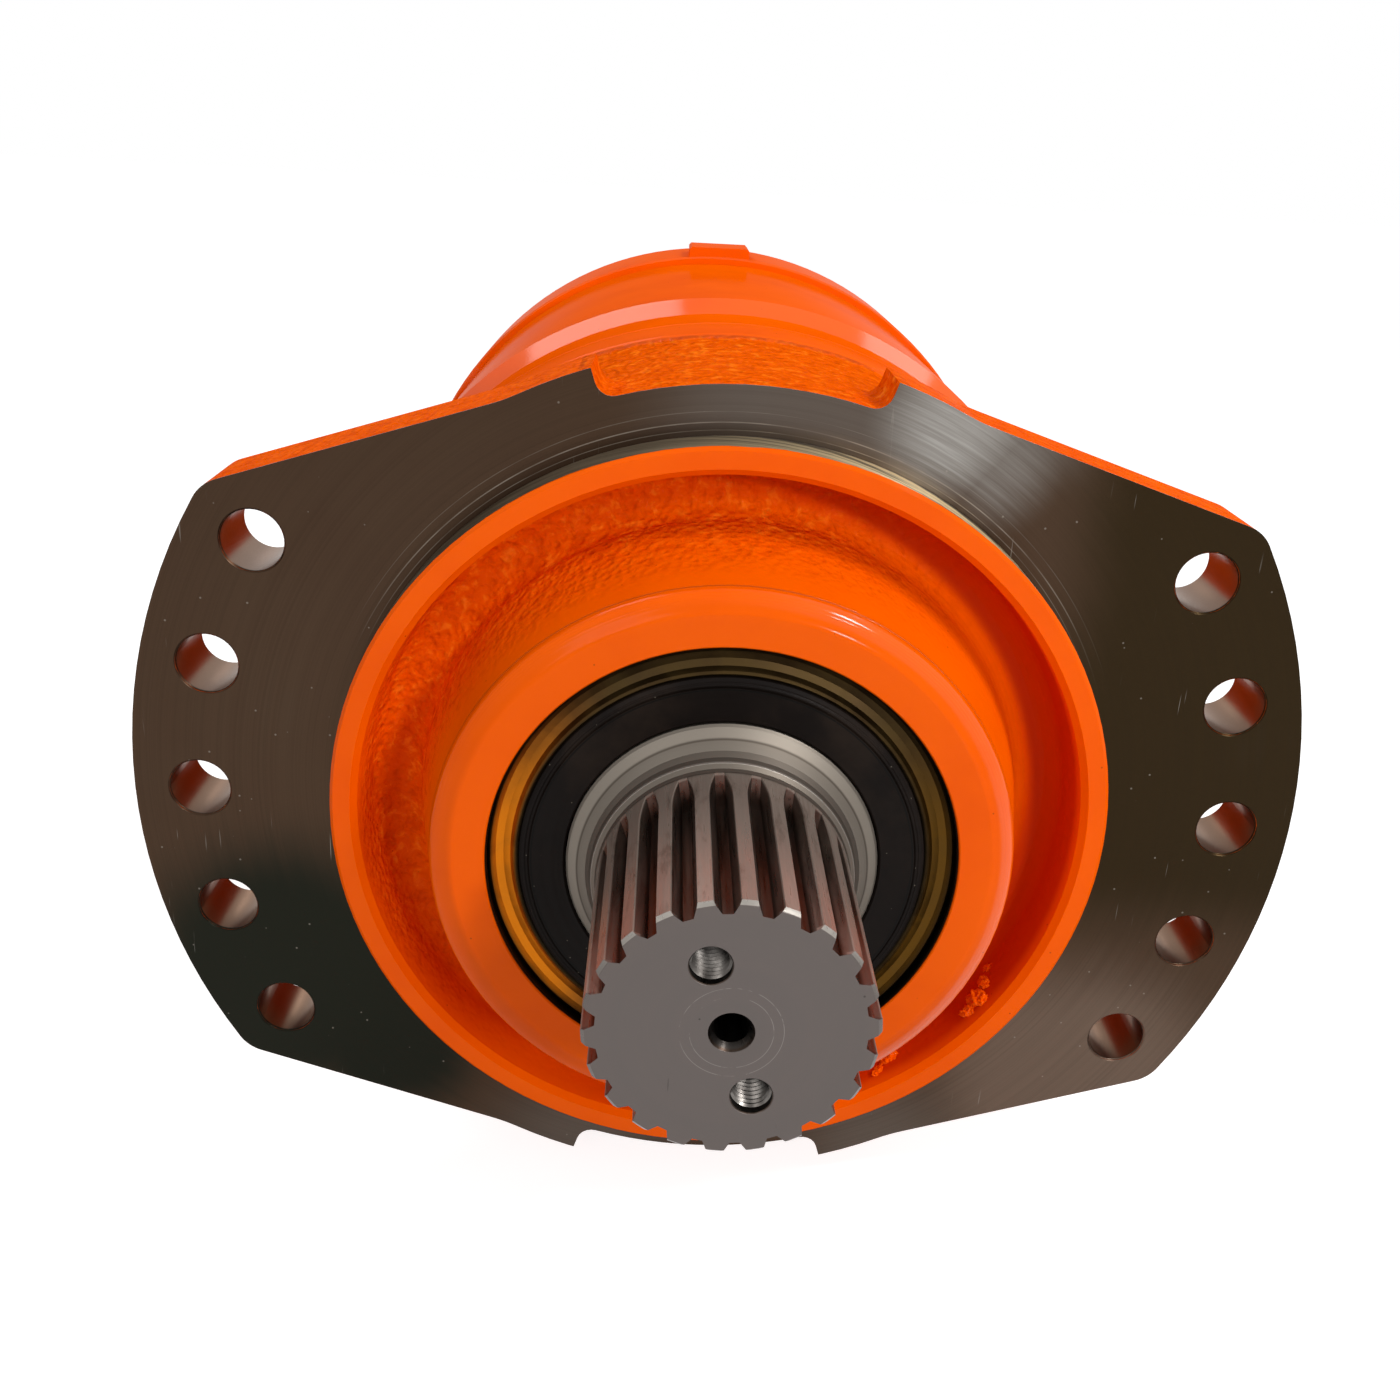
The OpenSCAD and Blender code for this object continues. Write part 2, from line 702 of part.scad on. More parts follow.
module rear_cover() color(ORANGE) difference() {
    union() {
        ring(core_r, casing_r, cover_y, brake_y);
        for (a = port_angles) at(0, a) rotate([0, 90, 0]) port_boss();
        for (a = drain_angles) at(0, a)
            radial_hole(drain_boss_r, casing_r - boss_root, drain_face_r, drain_y);
    }
    distributor_bore();
    ring(hollow_inner_r, hollow_outer_r, cover_y - run, cover_y + hollow_depth);
    o_ring_slot(o_ring_r, cover_y - eps, cover_y + o_ring_depth);
    o_ring_slot(brake_seal_groove_r, brake_y - o_ring_depth, brake_y + eps);
    at_motor_screws() {
        rod(screw_r + screw_gap, cover_y - run, brake_y + run);
        rod(screw_head_r + screw_gap, screw_head_y, brake_y + run);
    }
    dowel_hole(cover_y - run, cover_y + dowel_hole_len);
    at_brake_screws() rod(brake_screw_r + fit_gap, brake_screw_tip_y - 3, brake_y + run);
    // Main ports, each drilled on to its own gallery
    for (i = [0, 1]) at(0, port_angles[i]) {
        radial_hole(main_port_r, port_face_r - main_port_depth, port_face_r + run, port_y);
        radial_hole(port_feed_r, land_r, port_face_r - main_port_depth + eps, feed_y[i]);
    }
    for (a = drain_angles) at(0, a) {
        radial_hole(drain_port_r, drain_face_r - drain_depth, drain_face_r + run, drain_y);
        radial_hole(drain_feed_r, hollow_outer_r - 6, drain_face_r - drain_depth + eps, drain_y - 5);
    }
}

// Boss of a main port, drawn along Z from inside the casing's wall to the port's face
module port_boss() {
    chamfer = 2;
    straight = port_face_r - casing_r + boss_root - chamfer;
    translate([0, port_y, casing_r - boss_root]) {
        cylinder(r = port_boss_r, h = straight);
        translate([0, 0, straight]) cylinder(r1 = port_boss_r, r2 = port_boss_r - chamfer, h = chamfer);
    }
}

// Rollers and rings of a taper bearing, about a roller's axis in [radius, h]
// h runs from the outer ring's back face to the inner ring's back face
roller_shift = 0.4;
rib_gap = 0.3;
rib_w = 2;
small_rib = 0.55;
large_rib = 0.45;
race_end = bearing_roller_len / 2 + rib_gap;
function roller_mid(bore_r, outer_r) =
    [(bore_r + outer_r) / 2 + roller_shift, bearing_w / 2 - roller_shift];
function on_roller(mid, s, side) = mid + s * [sin(roller_tilt), cos(roller_tilt)]
    + side * [cos(roller_tilt), -sin(roller_tilt)];
function roller_surface(s) = bearing_roller_r + s * tan(roller_taper);
function race_r(mid, side, h) = let(
    p = on_roller(mid, 0, side * (bearing_roller_r + bearing_play)),
    slope = tan(roller_tilt + side * roller_taper)
) p[0] + (h - p[1]) * slope;

module cup(bore_r, outer_r) {
    mid = roller_mid(bore_r, outer_r);
    turned([
        [race_r(mid, 1, 0), 0], [outer_r - edge, 0], [outer_r, edge], [outer_r, cup_w - edge],
        [outer_r - edge, cup_w], [race_r(mid, 1, cup_w), cup_w]
    ]);
}

module cone(bore_r, outer_r) {
    mid = roller_mid(bore_r, outer_r);
    race = bearing_roller_r + bearing_play;
    lift = race_end * tan(roller_taper);
    rib_top = on_roller(mid, race_end, -bearing_roller_r * large_rib)[0];
    turned([
        [bore_r + fit_gap, fine_edge],
        on_roller(mid, -race_end - rib_w, -bearing_roller_r * small_rib),
        on_roller(mid, -race_end, -bearing_roller_r * small_rib),
        on_roller(mid, -race_end, lift - race),
        on_roller(mid, race_end, -lift - race),
        on_roller(mid, race_end, -bearing_roller_r * large_rib),
        [rib_top + edge, bearing_w - fine_edge], [rib_top + fine_edge, bearing_w],
        [bore_r + fit_gap, bearing_w]
    ]);
}

// One roller, standing on its own axis in the plane of X and Y
module on_roller_axis(bore_r, outer_r) {
    mid = roller_mid(bore_r, outer_r);
    translate([mid[0], mid[1], 0]) rotate([0, 0, -roller_tilt]) rotate([-90, 0, 0]) children();
}

module roller_body(extra) {
    half = bearing_roller_len / 2 + extra;
    translate([0, 0, -half]) cylinder(
        r1 = roller_surface(-half) + extra, r2 = roller_surface(half) + extra,
        h = 2 * half, $fn = 48
    );
}

module rollers(bore_r, outer_r) {
    around(bearing_rollers) on_roller_axis(bore_r, outer_r) roller_body(0);
}

// Sheet metal cage with a window for each roller
cage_reach = 2.4;
cage_inner = 0.4;
cage_outer = 2;
cage_gap = 0.35;

module cage(bore_r, outer_r) {
    mid = roller_mid(bore_r, outer_r);
    shell_end = bearing_roller_len / 2 + cage_reach;
    difference() {
        turned([
            on_roller(mid, -shell_end, cage_inner), on_roller(mid, shell_end, cage_inner),
            on_roller(mid, shell_end, cage_outer), on_roller(mid, -shell_end, cage_outer)
        ]);
        around(bearing_rollers) on_roller_axis(bore_r, outer_r) roller_body(cage_gap);
    }
}

// The front bearing's inner ring faces the shaft's end, the rear bearing's faces the nut
module front_bearing() {
    translate([0, front_bearing_end, 0]) mirror([0, 1, 0]) children();
}

module rear_bearing() {
    translate([0, rear_bearing_y, 0]) children();
}

module front_bearing_cup() color(STEEL) front_bearing() cup(front_bore_r, front_outer_r);
module front_bearing_cone() color(STEEL) front_bearing() cone(front_bore_r, front_outer_r);
module front_bearing_rollers() color(STEEL) front_bearing() rollers(front_bore_r, front_outer_r);
module front_bearing_cage() color(DARK_STEEL) front_bearing() cage(front_bore_r, front_outer_r);
module rear_bearing_cup() color(STEEL) rear_bearing() cup(rear_bore_r, rear_outer_r);
module rear_bearing_cone() color(STEEL) rear_bearing() cone(rear_bore_r, rear_outer_r);
module rear_bearing_rollers() color(STEEL) rear_bearing() rollers(rear_bore_r, rear_outer_r);
module rear_bearing_cage() color(DARK_STEEL) rear_bearing() cage(rear_bore_r, rear_outer_r);

// Spline groove with its cutter run-out, cut at the local +X side of the shaft
groove_depth = spline_depth + 1.5;
groove_top_w = spline_root_w + 2 * groove_depth * tan(spline_flank_angle);

module spline_groove() {
    plate(-shaft_reach - run, -spline_full_y) polygon([
        [spline_root_r, -spline_root_w / 2], [spline_root_r + groove_depth, -groove_top_w / 2],
        [spline_root_r + groove_depth, groove_top_w / 2], [spline_root_r, spline_root_w / 2]
    ]);
    translate([spline_root_r + spline_cutter_r, -spline_full_y, 0]) rotate_extrude($fn = 72) polygon([
        [0, -groove_top_w / 2], [spline_cutter_r - groove_depth, -groove_top_w / 2],
        [spline_cutter_r, -spline_root_w / 2], [spline_cutter_r, spline_root_w / 2],
        [spline_cutter_r - groove_depth, groove_top_w / 2], [0, groove_top_w / 2]
    ]);
}

// Toothed outline with straight flanks, grown by g; the shares say how much of a pitch each
// tooth takes up at its root and at its tip
module toothed_outline(teeth, tip_r, depth, root_share, tip_share, g) {
    half_pitch = 180 / teeth;
    grow = g / tip_r * 180 / PI;
    half_root = half_pitch * root_share + grow;
    half_tip = half_pitch * tip_share + grow;
    polygon([for (i = [0:teeth - 1]) let(a = 2 * i * half_pitch) each [
        polar(tip_r - depth + g, a - half_root), polar(tip_r + g, a - half_tip),
        polar(tip_r + g, a + half_tip), polar(tip_r - depth + g, a + half_root)
    ]]);
}

module inner_spline_outline(g) {
    toothed_outline(inner_teeth, inner_tip_r, inner_depth, 0.58, 0.36, g);
}

module hub_outline(g) {
    toothed_outline(hub_teeth, hub_r, hub_tooth_h, 0.6, 0.4, g);
}

// Turned shoulder between the spline and the seal track: steps [radius, y] from the hub's face
shoulder_points = [
    [spline_tip_r, -hub_h - 9], [spline_tip_r + 0.4, -hub_h - 7.8], [spline_tip_r + 1.5, -hub_h - 6.6],
    [spline_tip_r + 2.2, -hub_h - 4.6], [spline_tip_r + 3.3, -hub_h - 2.8],
    [spline_tip_r + 4.8, -hub_h - 1.6], [seal_track_r - 0.6, -hub_h + 1.4]
];
mouth_flare = 1.3;
mouth_depth = 0.3;
centre_cone = 2.2;

module splined_shaft() color(STEEL) difference() {
    union() {
        turned(concat(
            [[0, -shaft_reach], [spline_tip_r - edge, -shaft_reach], [spline_tip_r, -shaft_reach + edge]],
            shoulder_points,
            [[seal_track_r, -hub_h + 2.2], [seal_track_r, collar_y], [collar_r, collar_y]],
            [[collar_r, front_bearing_y], [front_bore_r, front_bearing_y]],
            [[front_bore_r, front_bearing_end], [front_bore_r - edge, front_bearing_end + edge]],
            [[front_bore_r - edge, rear_bearing_y - edge], [rear_bore_r, rear_bearing_y - edge]],
            [[rear_bore_r, rear_bearing_end - fine_edge], [thread_r, rear_bearing_end]],
            [[thread_r, nut_end_y + edge], [inner_root_r, nut_end_y + 2 * edge]],
            [[inner_root_r, shaft_end_y], [0, shaft_end_y]]
        ));
        plate(nut_end_y + 3 * edge, shaft_end_y) inner_spline_outline(0);
    }
    around(spline_teeth, 0, spline_phase) spline_groove();
    around(2, end_hole_offset, end_hole_angle) {
        rod(end_hole_r, -shaft_reach - run, -shaft_reach + end_hole_depth);
        taper(end_hole_r + mouth_flare, end_hole_r, -shaft_reach - run, -shaft_reach + mouth_depth);
    }
    rod(centre_hole_r, -shaft_reach - run, -shaft_reach + end_hole_depth);
    taper(centre_mouth_r + run / 2, centre_hole_r, -shaft_reach - run, -shaft_reach + centre_cone);
}

// Slotted bearing nut, with a tab of its washer bent up into one slot
nut_slots = 4;
slot_half_w = 4;
slot_depth = 3;
tab_t = 1.6;
tab_half_w = 3.4;
tab_len = 6;

module bearing_nut() color(DARK_STEEL) difference() {
    turned([
        [thread_r + fit_gap, nut_y], [thread_r + nut_wall - edge, nut_y],
        [thread_r + nut_wall, nut_y + edge],
        [thread_r + nut_wall, nut_end_y - edge], [thread_r + nut_wall - edge, nut_end_y],
        [thread_r + fit_gap, nut_end_y]
    ]);
    around(nut_slots, thread_r + nut_wall) translate([-slot_depth, nut_y - run, -slot_half_w])
        cube([2 * slot_depth, nut_w + 2 * run, 2 * slot_half_w]);
}

module tab_washer() color(STEEL) {
    ring(thread_r + 1.2, thread_r + nut_wall, nut_y - film - washer_t, nut_y - film);
    at(thread_r + nut_wall - slot_depth + 0.4, 0) translate([0, nut_y - film - washer_t, -tab_half_w])
        cube([tab_t, tab_len, 2 * tab_half_w]);
}

// Seal stack in the hub's mouth: the rubber ring with its two lips, and the metal ring round it
module shaft_seal() color(RUBBER) turned([
    [seal_track_r + 0.35, seal_face_y + 0.5], [seal_track_r + 0.9, seal_face_y],
    [seal_joint_r - 1.2, seal_face_y], [seal_joint_r - 0.3, seal_face_y + 0.6],
    [seal_joint_r - fit_gap, seal_face_y + 1.6], [seal_joint_r - fit_gap, seal_end_y - 2],
    [seal_track_r + 7, seal_end_y - 2], [seal_track_r + 6, seal_face_y + 5.5],
    [seal_track_r + 3.4, seal_face_y + 5.5], [seal_track_r + 3.2, seal_face_y + 9.5],
    [seal_track_r + 1.4, seal_face_y + 9.5], [seal_track_r + fit_gap, seal_face_y + 8],
    [seal_track_r + 1.8, seal_face_y + 4]
]);

seal_case_lip_r = seal_track_r + 9;
seal_case_t = 1.9;

module seal_case() color(YELLOW_ZINC) turned([
    [seal_joint_r, seal_face_y + 1.2], [seal_joint_r + 0.7, seal_face_y + 0.7],
    [seal_joint_r + 1.4, seal_face_y + 1.2], [seal_joint_r + 2.4, seal_face_y + 2.6],
    [seal_joint_r + 4.4, seal_face_y + 3.3], [seal_bore_r - 2.2, seal_face_y + 2.8],
    [seal_bore_r - 0.9, seal_face_y + 1.6], [seal_bore_r - fit_gap, seal_face_y + 2.2],
    [seal_bore_r - fit_gap, seal_end_y], [seal_case_lip_r, seal_end_y],
    [seal_case_lip_r, seal_end_y - seal_case_t], [seal_joint_r, seal_end_y - seal_case_t]
]);

module garter_spring() color(STEEL) cord_ring(seal_track_r + 4.6, seal_face_y + 8, 1);

// Cylinder block with one radial bore for each piston
block_chamfer = 3;

module at_piston(k) {
    translate([0, block_y, 0]) rotate([0, -90 - (k - 1) * piston_step, 0]) rotate([0, 90, 0]) children();
}

module cylinder_block() color(DARK_STEEL) difference() {
    turned([
        [core_r, block_front_y], [block_r - block_chamfer, block_front_y],
        [block_r, block_front_y + block_chamfer], [block_r, block_rear_y - block_chamfer],
        [block_r - block_chamfer, block_rear_y], [core_r, block_rear_y]
    ]);
    plate(block_front_y - run, block_rear_y + run) inner_spline_outline(spline_clearance);
    for (k = [1:pistons])
        at_piston(k) translate([0, 0, bore_floor_r]) cylinder(r = bore_r, h = bore_depth + run);
    around(pistons, port_circle_r, 90) rod(face_port_r, shaft_end_y, block_rear_y + run);
}

// Piston, seal ring and half bush, drawn along Z at the piston's rest place
ring_rise = 2.2;
ring_w = 2.2;
ring_depth = 1.5;
ring_slot_gap = 0.1;
foot_pocket_r = 9;
foot_pocket_depth = 2.5;
oil_hole_r = 1.2;
oil_hole_depth = 11;
bush_wing = 3;
bush_side_gap = 0.1;
cross_h = 4 * seat_r;

// Cylinder across the piston, at the place of its roller
module across(r, h) {
    translate([0, 0, roller_rest_r]) rotate([90, 0, 0]) cylinder(r = r, h = h, center = true);
}

module tube(r0, r1, z, h) {
    translate([0, 0, z]) difference() {
        cylinder(r = r1, h = h);
        translate([0, 0, -run]) cylinder(r = r0, h = h + 2 * run);
    }
}

module piston_set(k) at_piston(k) {
    ring_z = piston_foot_r + ring_rise;
    color(STEEL) difference() {
        translate([0, 0, piston_foot_r]) cylinder(r = piston_r, h = block_r - piston_foot_r);
        across(seat_r, cross_h);
        translate([0, 0, piston_foot_r - run]) cylinder(r = foot_pocket_r, h = foot_pocket_depth + run);
        translate([0, 0, piston_foot_r - run]) cylinder(r = oil_hole_r, h = oil_hole_depth + run);
        tube(piston_r - ring_depth - ring_slot_gap, piston_r + run, ring_z, ring_w + ring_slot_gap);
    }
    color(DARK_STEEL)
        tube(piston_r - ring_depth, piston_r + piston_clearance / 2, ring_z + ring_slot_gap / 2, ring_w);
    color(BRONZE) intersection() {
        difference() {
            across(seat_r - piston_clearance / 2, roller_len);
            across(roller_r + fit_gap, cross_h);
        }
        translate([0, 0, piston_foot_r])
            cylinder(r = piston_r - bush_side_gap, h = roller_rest_r + bush_wing - piston_foot_r);
    }
}

roller_edge = 0.8;

module roller(k) color(STEEL) at_piston(k) translate([0, 0, roller_rest_r]) rotate([90, 0, 0])
    rotate_extrude() polygon([
        [0, -roller_len / 2], [roller_r - roller_edge, -roller_len / 2],
        [roller_r, roller_edge - roller_len / 2], [roller_r, roller_len / 2 - roller_edge],
        [roller_r - roller_edge, roller_len / 2], [0, roller_len / 2]
    ]);

// Distributor with its lands, waists, face ports and spring pockets
face_ports = 2 * lobes;
waist_feed_r = 3;

module distributor() color(DARK_STEEL) difference() {
    turned([
        [dist_bore_r, dist_front_y], [land_r, dist_front_y], [land_r, waist_1_y], [waist_1_r, waist_1_y],
        [waist_1_r, land_2_y], [land_2_r, land_2_y], [land_2_r, waist_2_y], [waist_2_r, waist_2_y],
        [waist_2_r, land_3_y], [land_3_r, land_3_y], [land_3_r, dist_rear_y], [dist_bore_r, dist_rear_y]
    ]);
    for (s = seal_places) seal_slot(s[0], s[1], seal_groove, seal_groove);
    for (i = [0:face_ports - 1]) at(0, (i + 0.5) * 360 / face_ports) {
        at(port_circle_r, 0) rod(face_port_r, dist_front_y - run, feed_y[i % 2] + waist_feed_r);
        radial_hole(waist_feed_r, port_circle_r, land_r, feed_y[i % 2]);
    }
    around(spring_count, spring_circle_r)
        rod(spring_pocket_r, dist_rear_y - spring_pocket_depth, dist_rear_y + run);
    for (a = pin_angles) at(spring_circle_r, a)
        rod(pin_r + pin_gap, dist_rear_y - pin_depth - run, dist_rear_y + run);
}

seal_squeeze = 0.05;

module distributor_seals() color(RUBBER) for (s = seal_places)
    cord_ring(s[0] - seal_groove / 2 + seal_squeeze, s[1], seal_groove / 2 - 2 * seal_squeeze);

module distributor_pins() color(STEEL)
    for (a = pin_angles) at(spring_circle_r, a) rod(pin_r, dist_rear_y - pin_depth, cover_bore_end);

// Compression springs that hold the distributor against the block
spring_r = 3.2;
spring_wire_r = 0.55;
spring_turns = 5;
spring_front_y = dist_rear_y - spring_pocket_depth + spring_wire_r + film;
spring_rise = cover_bore_end - spring_wire_r - film - spring_front_y;
spring_sides = 6;
spring_steps = 12 * spring_turns;

function helix_point(i, j) = let(
    a = 360 * spring_turns * i / spring_steps,
    b = 360 * j / spring_sides,
    r = spring_r + spring_wire_r * cos(b)
) [r * cos(a), spring_front_y + spring_rise * i / spring_steps + spring_wire_r * sin(b), r * sin(a)];

module coil_spring() {
    n = spring_sides;
    points = [for (i = [0:spring_steps], j = [0:n - 1]) helix_point(i, j)];
    walls = [for (i = [0:spring_steps - 1], j = [0:n - 1]) let(k = (j + 1) % n)
        each [[i * n + j, (i + 1) * n + j, (i + 1) * n + k], [i * n + j, (i + 1) * n + k, i * n + k]]];
    caps = [[for (j = [0:n - 1]) j], [for (j = [n - 1:-1:0]) spring_steps * n + j]];
    polyhedron(points = points, faces = concat(walls, caps));
}

module distributor_springs() color(STEEL) around(spring_count, spring_circle_r) coil_spring();

o_ring_section = o_ring_depth / 2 - 0.02;

module casing_o_rings() color(RUBBER) {
    cord_ring(o_ring_r, support_len - o_ring_depth / 2, o_ring_section);
    cord_ring(o_ring_r, cover_y + o_ring_depth / 2, o_ring_section);
    cord_ring(brake_seal_groove_r, brake_y - o_ring_depth / 2, o_ring_section);
}

module dowel_pins() color(STEEL) for (y = [cam_y, cover_y], a = dowel_angles)
    at(screw_circle_r, a) rod(dowel_r, y - dowel_len / 2, y + dowel_len / 2);

// Socket head screw along Y: head from y_head to y_head + head_h, tip at y_tip
socket_r_share = 0.58;
socket_depth_share = 0.55;
head_chamfer = 0.8;

module socket_screw(r, head_r, head_h, y_tip, y_head) difference() {
    union() {
        rod(r, y_tip + edge, y_head + eps);
        taper(r - edge, r, y_tip, y_tip + edge);
        rod(head_r, y_head, y_head + head_h - head_chamfer);
        taper(head_r, head_r - head_chamfer, y_head + head_h - head_chamfer, y_head + head_h);
    }
    rotate([-90, 0, 0]) translate([0, 0, y_head + head_h * (1 - socket_depth_share)])
        cylinder(r = head_r * socket_r_share, h = head_h, $fn = 6);
}

module motor_screws() color(DARK_STEEL) at_motor_screws()
    socket_screw(screw_r, screw_head_r, screw_head_h, screw_tip_y, screw_head_y);

// Casing of the brake, with a raised cast pad on top of its front edge
cover_corner = 8;
cover_chamfer = 2.4;
lip_chamfer = 0.8;
pad_root = 6;

module brake_casing() {
    turned([
        [0, brake_y], [brake_cover_r - lip_chamfer, brake_y], [brake_cover_r, brake_y + lip_chamfer],
        [brake_cover_r, rear_y - cover_corner], [brake_cover_r - cover_chamfer, rear_y - cover_chamfer],
        [brake_cover_r - cover_corner, rear_y], [0, rear_y]
    ]);
    at(brake_cover_r, 90) rotate([0, 90, 0]) plate(brake_y + run, brake_y + run + pad_len) polygon([
        [-pad_half_w, -pad_root], [pad_half_w, -pad_root], [pad_half_w, pad_rise - edge],
        [pad_half_w - edge, pad_rise], [edge - pad_half_w, pad_rise], [-pad_half_w, pad_rise - edge]
    ]);
}

// Chamber of the plates and the brake piston, with slots for the plates' lugs
module brake_chamber() {
    turned([
        [0, brake_y - run], [plate_bore_r, brake_y - run], [plate_bore_r, piston_front_y + edge],
        [brake_piston_small_r, piston_front_y + edge], [brake_piston_small_r, brake_step_y],
        [brake_piston_large_r, brake_step_y], [brake_piston_large_r, brake_floor_y], [0, brake_floor_y]
    ]);
    around(lugs, plate_bore_r + lug_reach + run, 180 / lugs)
        translate([-2 * lug_reach, brake_y - run, -lug_half_w - lug_gap])
            cube([2 * lug_reach, pack_len + 2 * run, 2 * (lug_half_w + lug_gap)]);
}

module brake_cover() color(ORANGE) difference() {
    brake_casing();
    brake_chamber();
    at_brake_screws() {
        rod(brake_screw_r + screw_gap, brake_y - run, rear_y + run);
        rod(brake_screw_head_r + screw_gap, brake_head_y, rear_y + run);
    }
    rod(release_port_r, brake_floor_y - run, rear_y + run);
    // Brake port with its spot face, and the drilling to the piston's chamber
    at(0, brake_port_angle) {
        radial_hole(brake_port_r + 4, brake_port_face_r, brake_cover_r + run, brake_port_y);
        radial_hole(brake_port_r, brake_port_face_r - brake_port_depth, brake_cover_r, brake_port_y);
        radial_hole(2, brake_piston_large_r - 4, brake_port_face_r - brake_port_depth + run, brake_step_y);
    }
}

// Steel plates between the friction discs, held by their lugs
module brake_plates() color(STEEL) for (i = [0:2:pack_count - 1]) {
    ring(plate_inner_r, plate_bore_r - 2.5, pack_y(i), pack_y(i) + plate_t);
    around(lugs, plate_bore_r + lug_reach, 180 / lugs)
        translate([-3 * lug_reach, pack_y(i), -lug_half_w]) cube([3 * lug_reach, plate_t, 2 * lug_half_w]);
}

hub_gap = 0.15;

module friction_discs() color(BRONZE) for (i = [1:2:pack_count - 2]) difference() {
    rod(friction_r, pack_y(i), pack_y(i) + plate_t);
    plate(pack_y(i) - run, pack_y(i) + plate_t + run) hub_outline(hub_gap);
}

// Brake shaft: a splined journal in the block, a web, and the toothed hub of the discs
journal_r = 30;
rear_journal_r = 22;
hub_front_y = brake_y + fine_edge;
hub_web_y = brake_y + 8;
hub_rim = 8;
hub_hollow = 20;

module brake_shaft() color(STEEL) difference() {
    union() {
        plate(shaft_end_y + edge, block_rear_y - edge) inner_spline_outline(0);
        turned([
            [0, shaft_end_y + edge], [journal_r, shaft_end_y + edge], [journal_r, hub_front_y],
            [hub_r - hub_rim, hub_front_y], [hub_r - hub_rim, piston_front_y],
            [hub_r - hub_hollow, piston_front_y], [hub_r - hub_hollow, hub_web_y],
            [rear_journal_r, hub_web_y], [rear_journal_r, piston_front_y + 4], [0, piston_front_y + 4]
        ]);
        plate(hub_front_y, piston_front_y) difference() {
            hub_outline(0);
            circle(r = hub_r - hub_rim - edge);
        }
    }
    rod(8, piston_front_y - 14, piston_front_y + 6);
}

brake_seal_depth = 2.6;
brake_seal_w = 2.8;

module brake_piston() color(STEEL) difference() {
    turned([
        [plate_inner_r, piston_front_y], [plate_bore_r - edge, piston_front_y],
        [plate_bore_r - edge, piston_front_y + piston_nose],
        [brake_piston_small_r - fit_gap, piston_front_y + piston_nose],
        [brake_piston_small_r - fit_gap, piston_shoulder_y],
        [brake_piston_large_r - fit_gap, piston_shoulder_y],
        [brake_piston_large_r - fit_gap, piston_rear_y], [plate_inner_r, piston_rear_y]
    ]);
    for (s = brake_seal_places) seal_slot(s[0], s[1], brake_seal_depth, brake_seal_w);
}

module brake_piston_seals() color(RUBBER)
    for (s = brake_seal_places) cord_ring(s[0] - brake_seal_depth / 2 - seal_squeeze, s[1], 1.2);

disc_spring_t = 4;
disc_spring_edge = 4;

module disc_spring() color(DARK_STEEL) turned([
    [plate_inner_r + disc_spring_edge, piston_rear_y + film],
    [plate_inner_r + disc_spring_edge, piston_rear_y + disc_spring_t],
    [brake_piston_large_r - disc_spring_edge, brake_floor_y - film],
    [brake_piston_large_r - disc_spring_edge, brake_floor_y - disc_spring_t]
]);

module brake_screws() color(DARK_STEEL) at_brake_screws()
    socket_screw(brake_screw_r, brake_screw_head_r, brake_screw_head_h, brake_screw_tip_y, brake_head_y);

// Plug with a hexagon socket, along the local X axis, seated at radius r_face
plug_head_h = 3.5;
plug_head_rim = 3;
washer_rim = 2.8;

module hollow_plug(r, r_face, depth) translate([r_face, 0, 0]) rotate([0, 90, 0]) difference() {
    union() {
        translate([0, 0, -depth]) cylinder(r = r - fit_gap, h = depth + plug_washer_t + eps);
        translate([0, 0, plug_washer_t]) cylinder(r = r + plug_head_rim, h = plug_head_h);
        translate([0, 0, plug_washer_t + plug_head_h])
            cylinder(r1 = r + plug_head_rim, r2 = r + plug_head_rim - edge, h = edge);
    }
    translate([0, 0, -depth * 0.3]) cylinder(r = r * 0.55, h = depth + plug_head_h, $fn = 6);
}

module sealing_washer(r, r_face) translate([r_face, 0, 0]) rotate([0, 90, 0])
    tube(r, r + washer_rim, 0, plug_washer_t);

// Places of the drain ports, the brake port and the port in the rear wall
module at_drain_ports() {
    for (a = drain_angles) at(0, a) translate([0, drain_y, 0]) children();
}

module at_brake_port() {
    at(0, brake_port_angle) translate([0, brake_port_y, 0]) children();
}

module at_release_port() {
    rotate([0, 0, 90]) children();
}

module drain_plugs() color(DARK_STEEL) {
    at_drain_ports() hollow_plug(drain_port_r, drain_face_r, drain_depth - 3);
    at_brake_port() hollow_plug(brake_port_r, brake_port_face_r, brake_port_depth - 2);
    at_release_port() hollow_plug(release_port_r, rear_y, brake_wall - edge);
}

module plug_washers() color(BRONZE) {
    at_drain_ports() sealing_washer(drain_port_r, drain_face_r);
    at_brake_port() sealing_washer(brake_port_r, brake_port_face_r);
    at_release_port() sealing_washer(release_port_r, rear_y);
}

bearing_support();
cam_ring();
rear_cover();
brake_cover();
splined_shaft();
front_bearing_cup();
front_bearing_cone();
front_bearing_rollers();
front_bearing_cage();
rear_bearing_cup();
rear_bearing_cone();
rear_bearing_rollers();
rear_bearing_cage();
bearing_nut();
tab_washer();
shaft_seal();
seal_case();
garter_spring();
cylinder_block();
distributor();
distributor_seals();
distributor_springs();
distributor_pins();
casing_o_rings();
dowel_pins();
motor_screws();
brake_shaft();
friction_discs();
brake_plates();
brake_piston();
brake_piston_seals();
disc_spring();
brake_screws();
drain_plugs();
plug_washers();
for (k = [1:pistons]) {
    piston_set(k);
    roller(k);
}
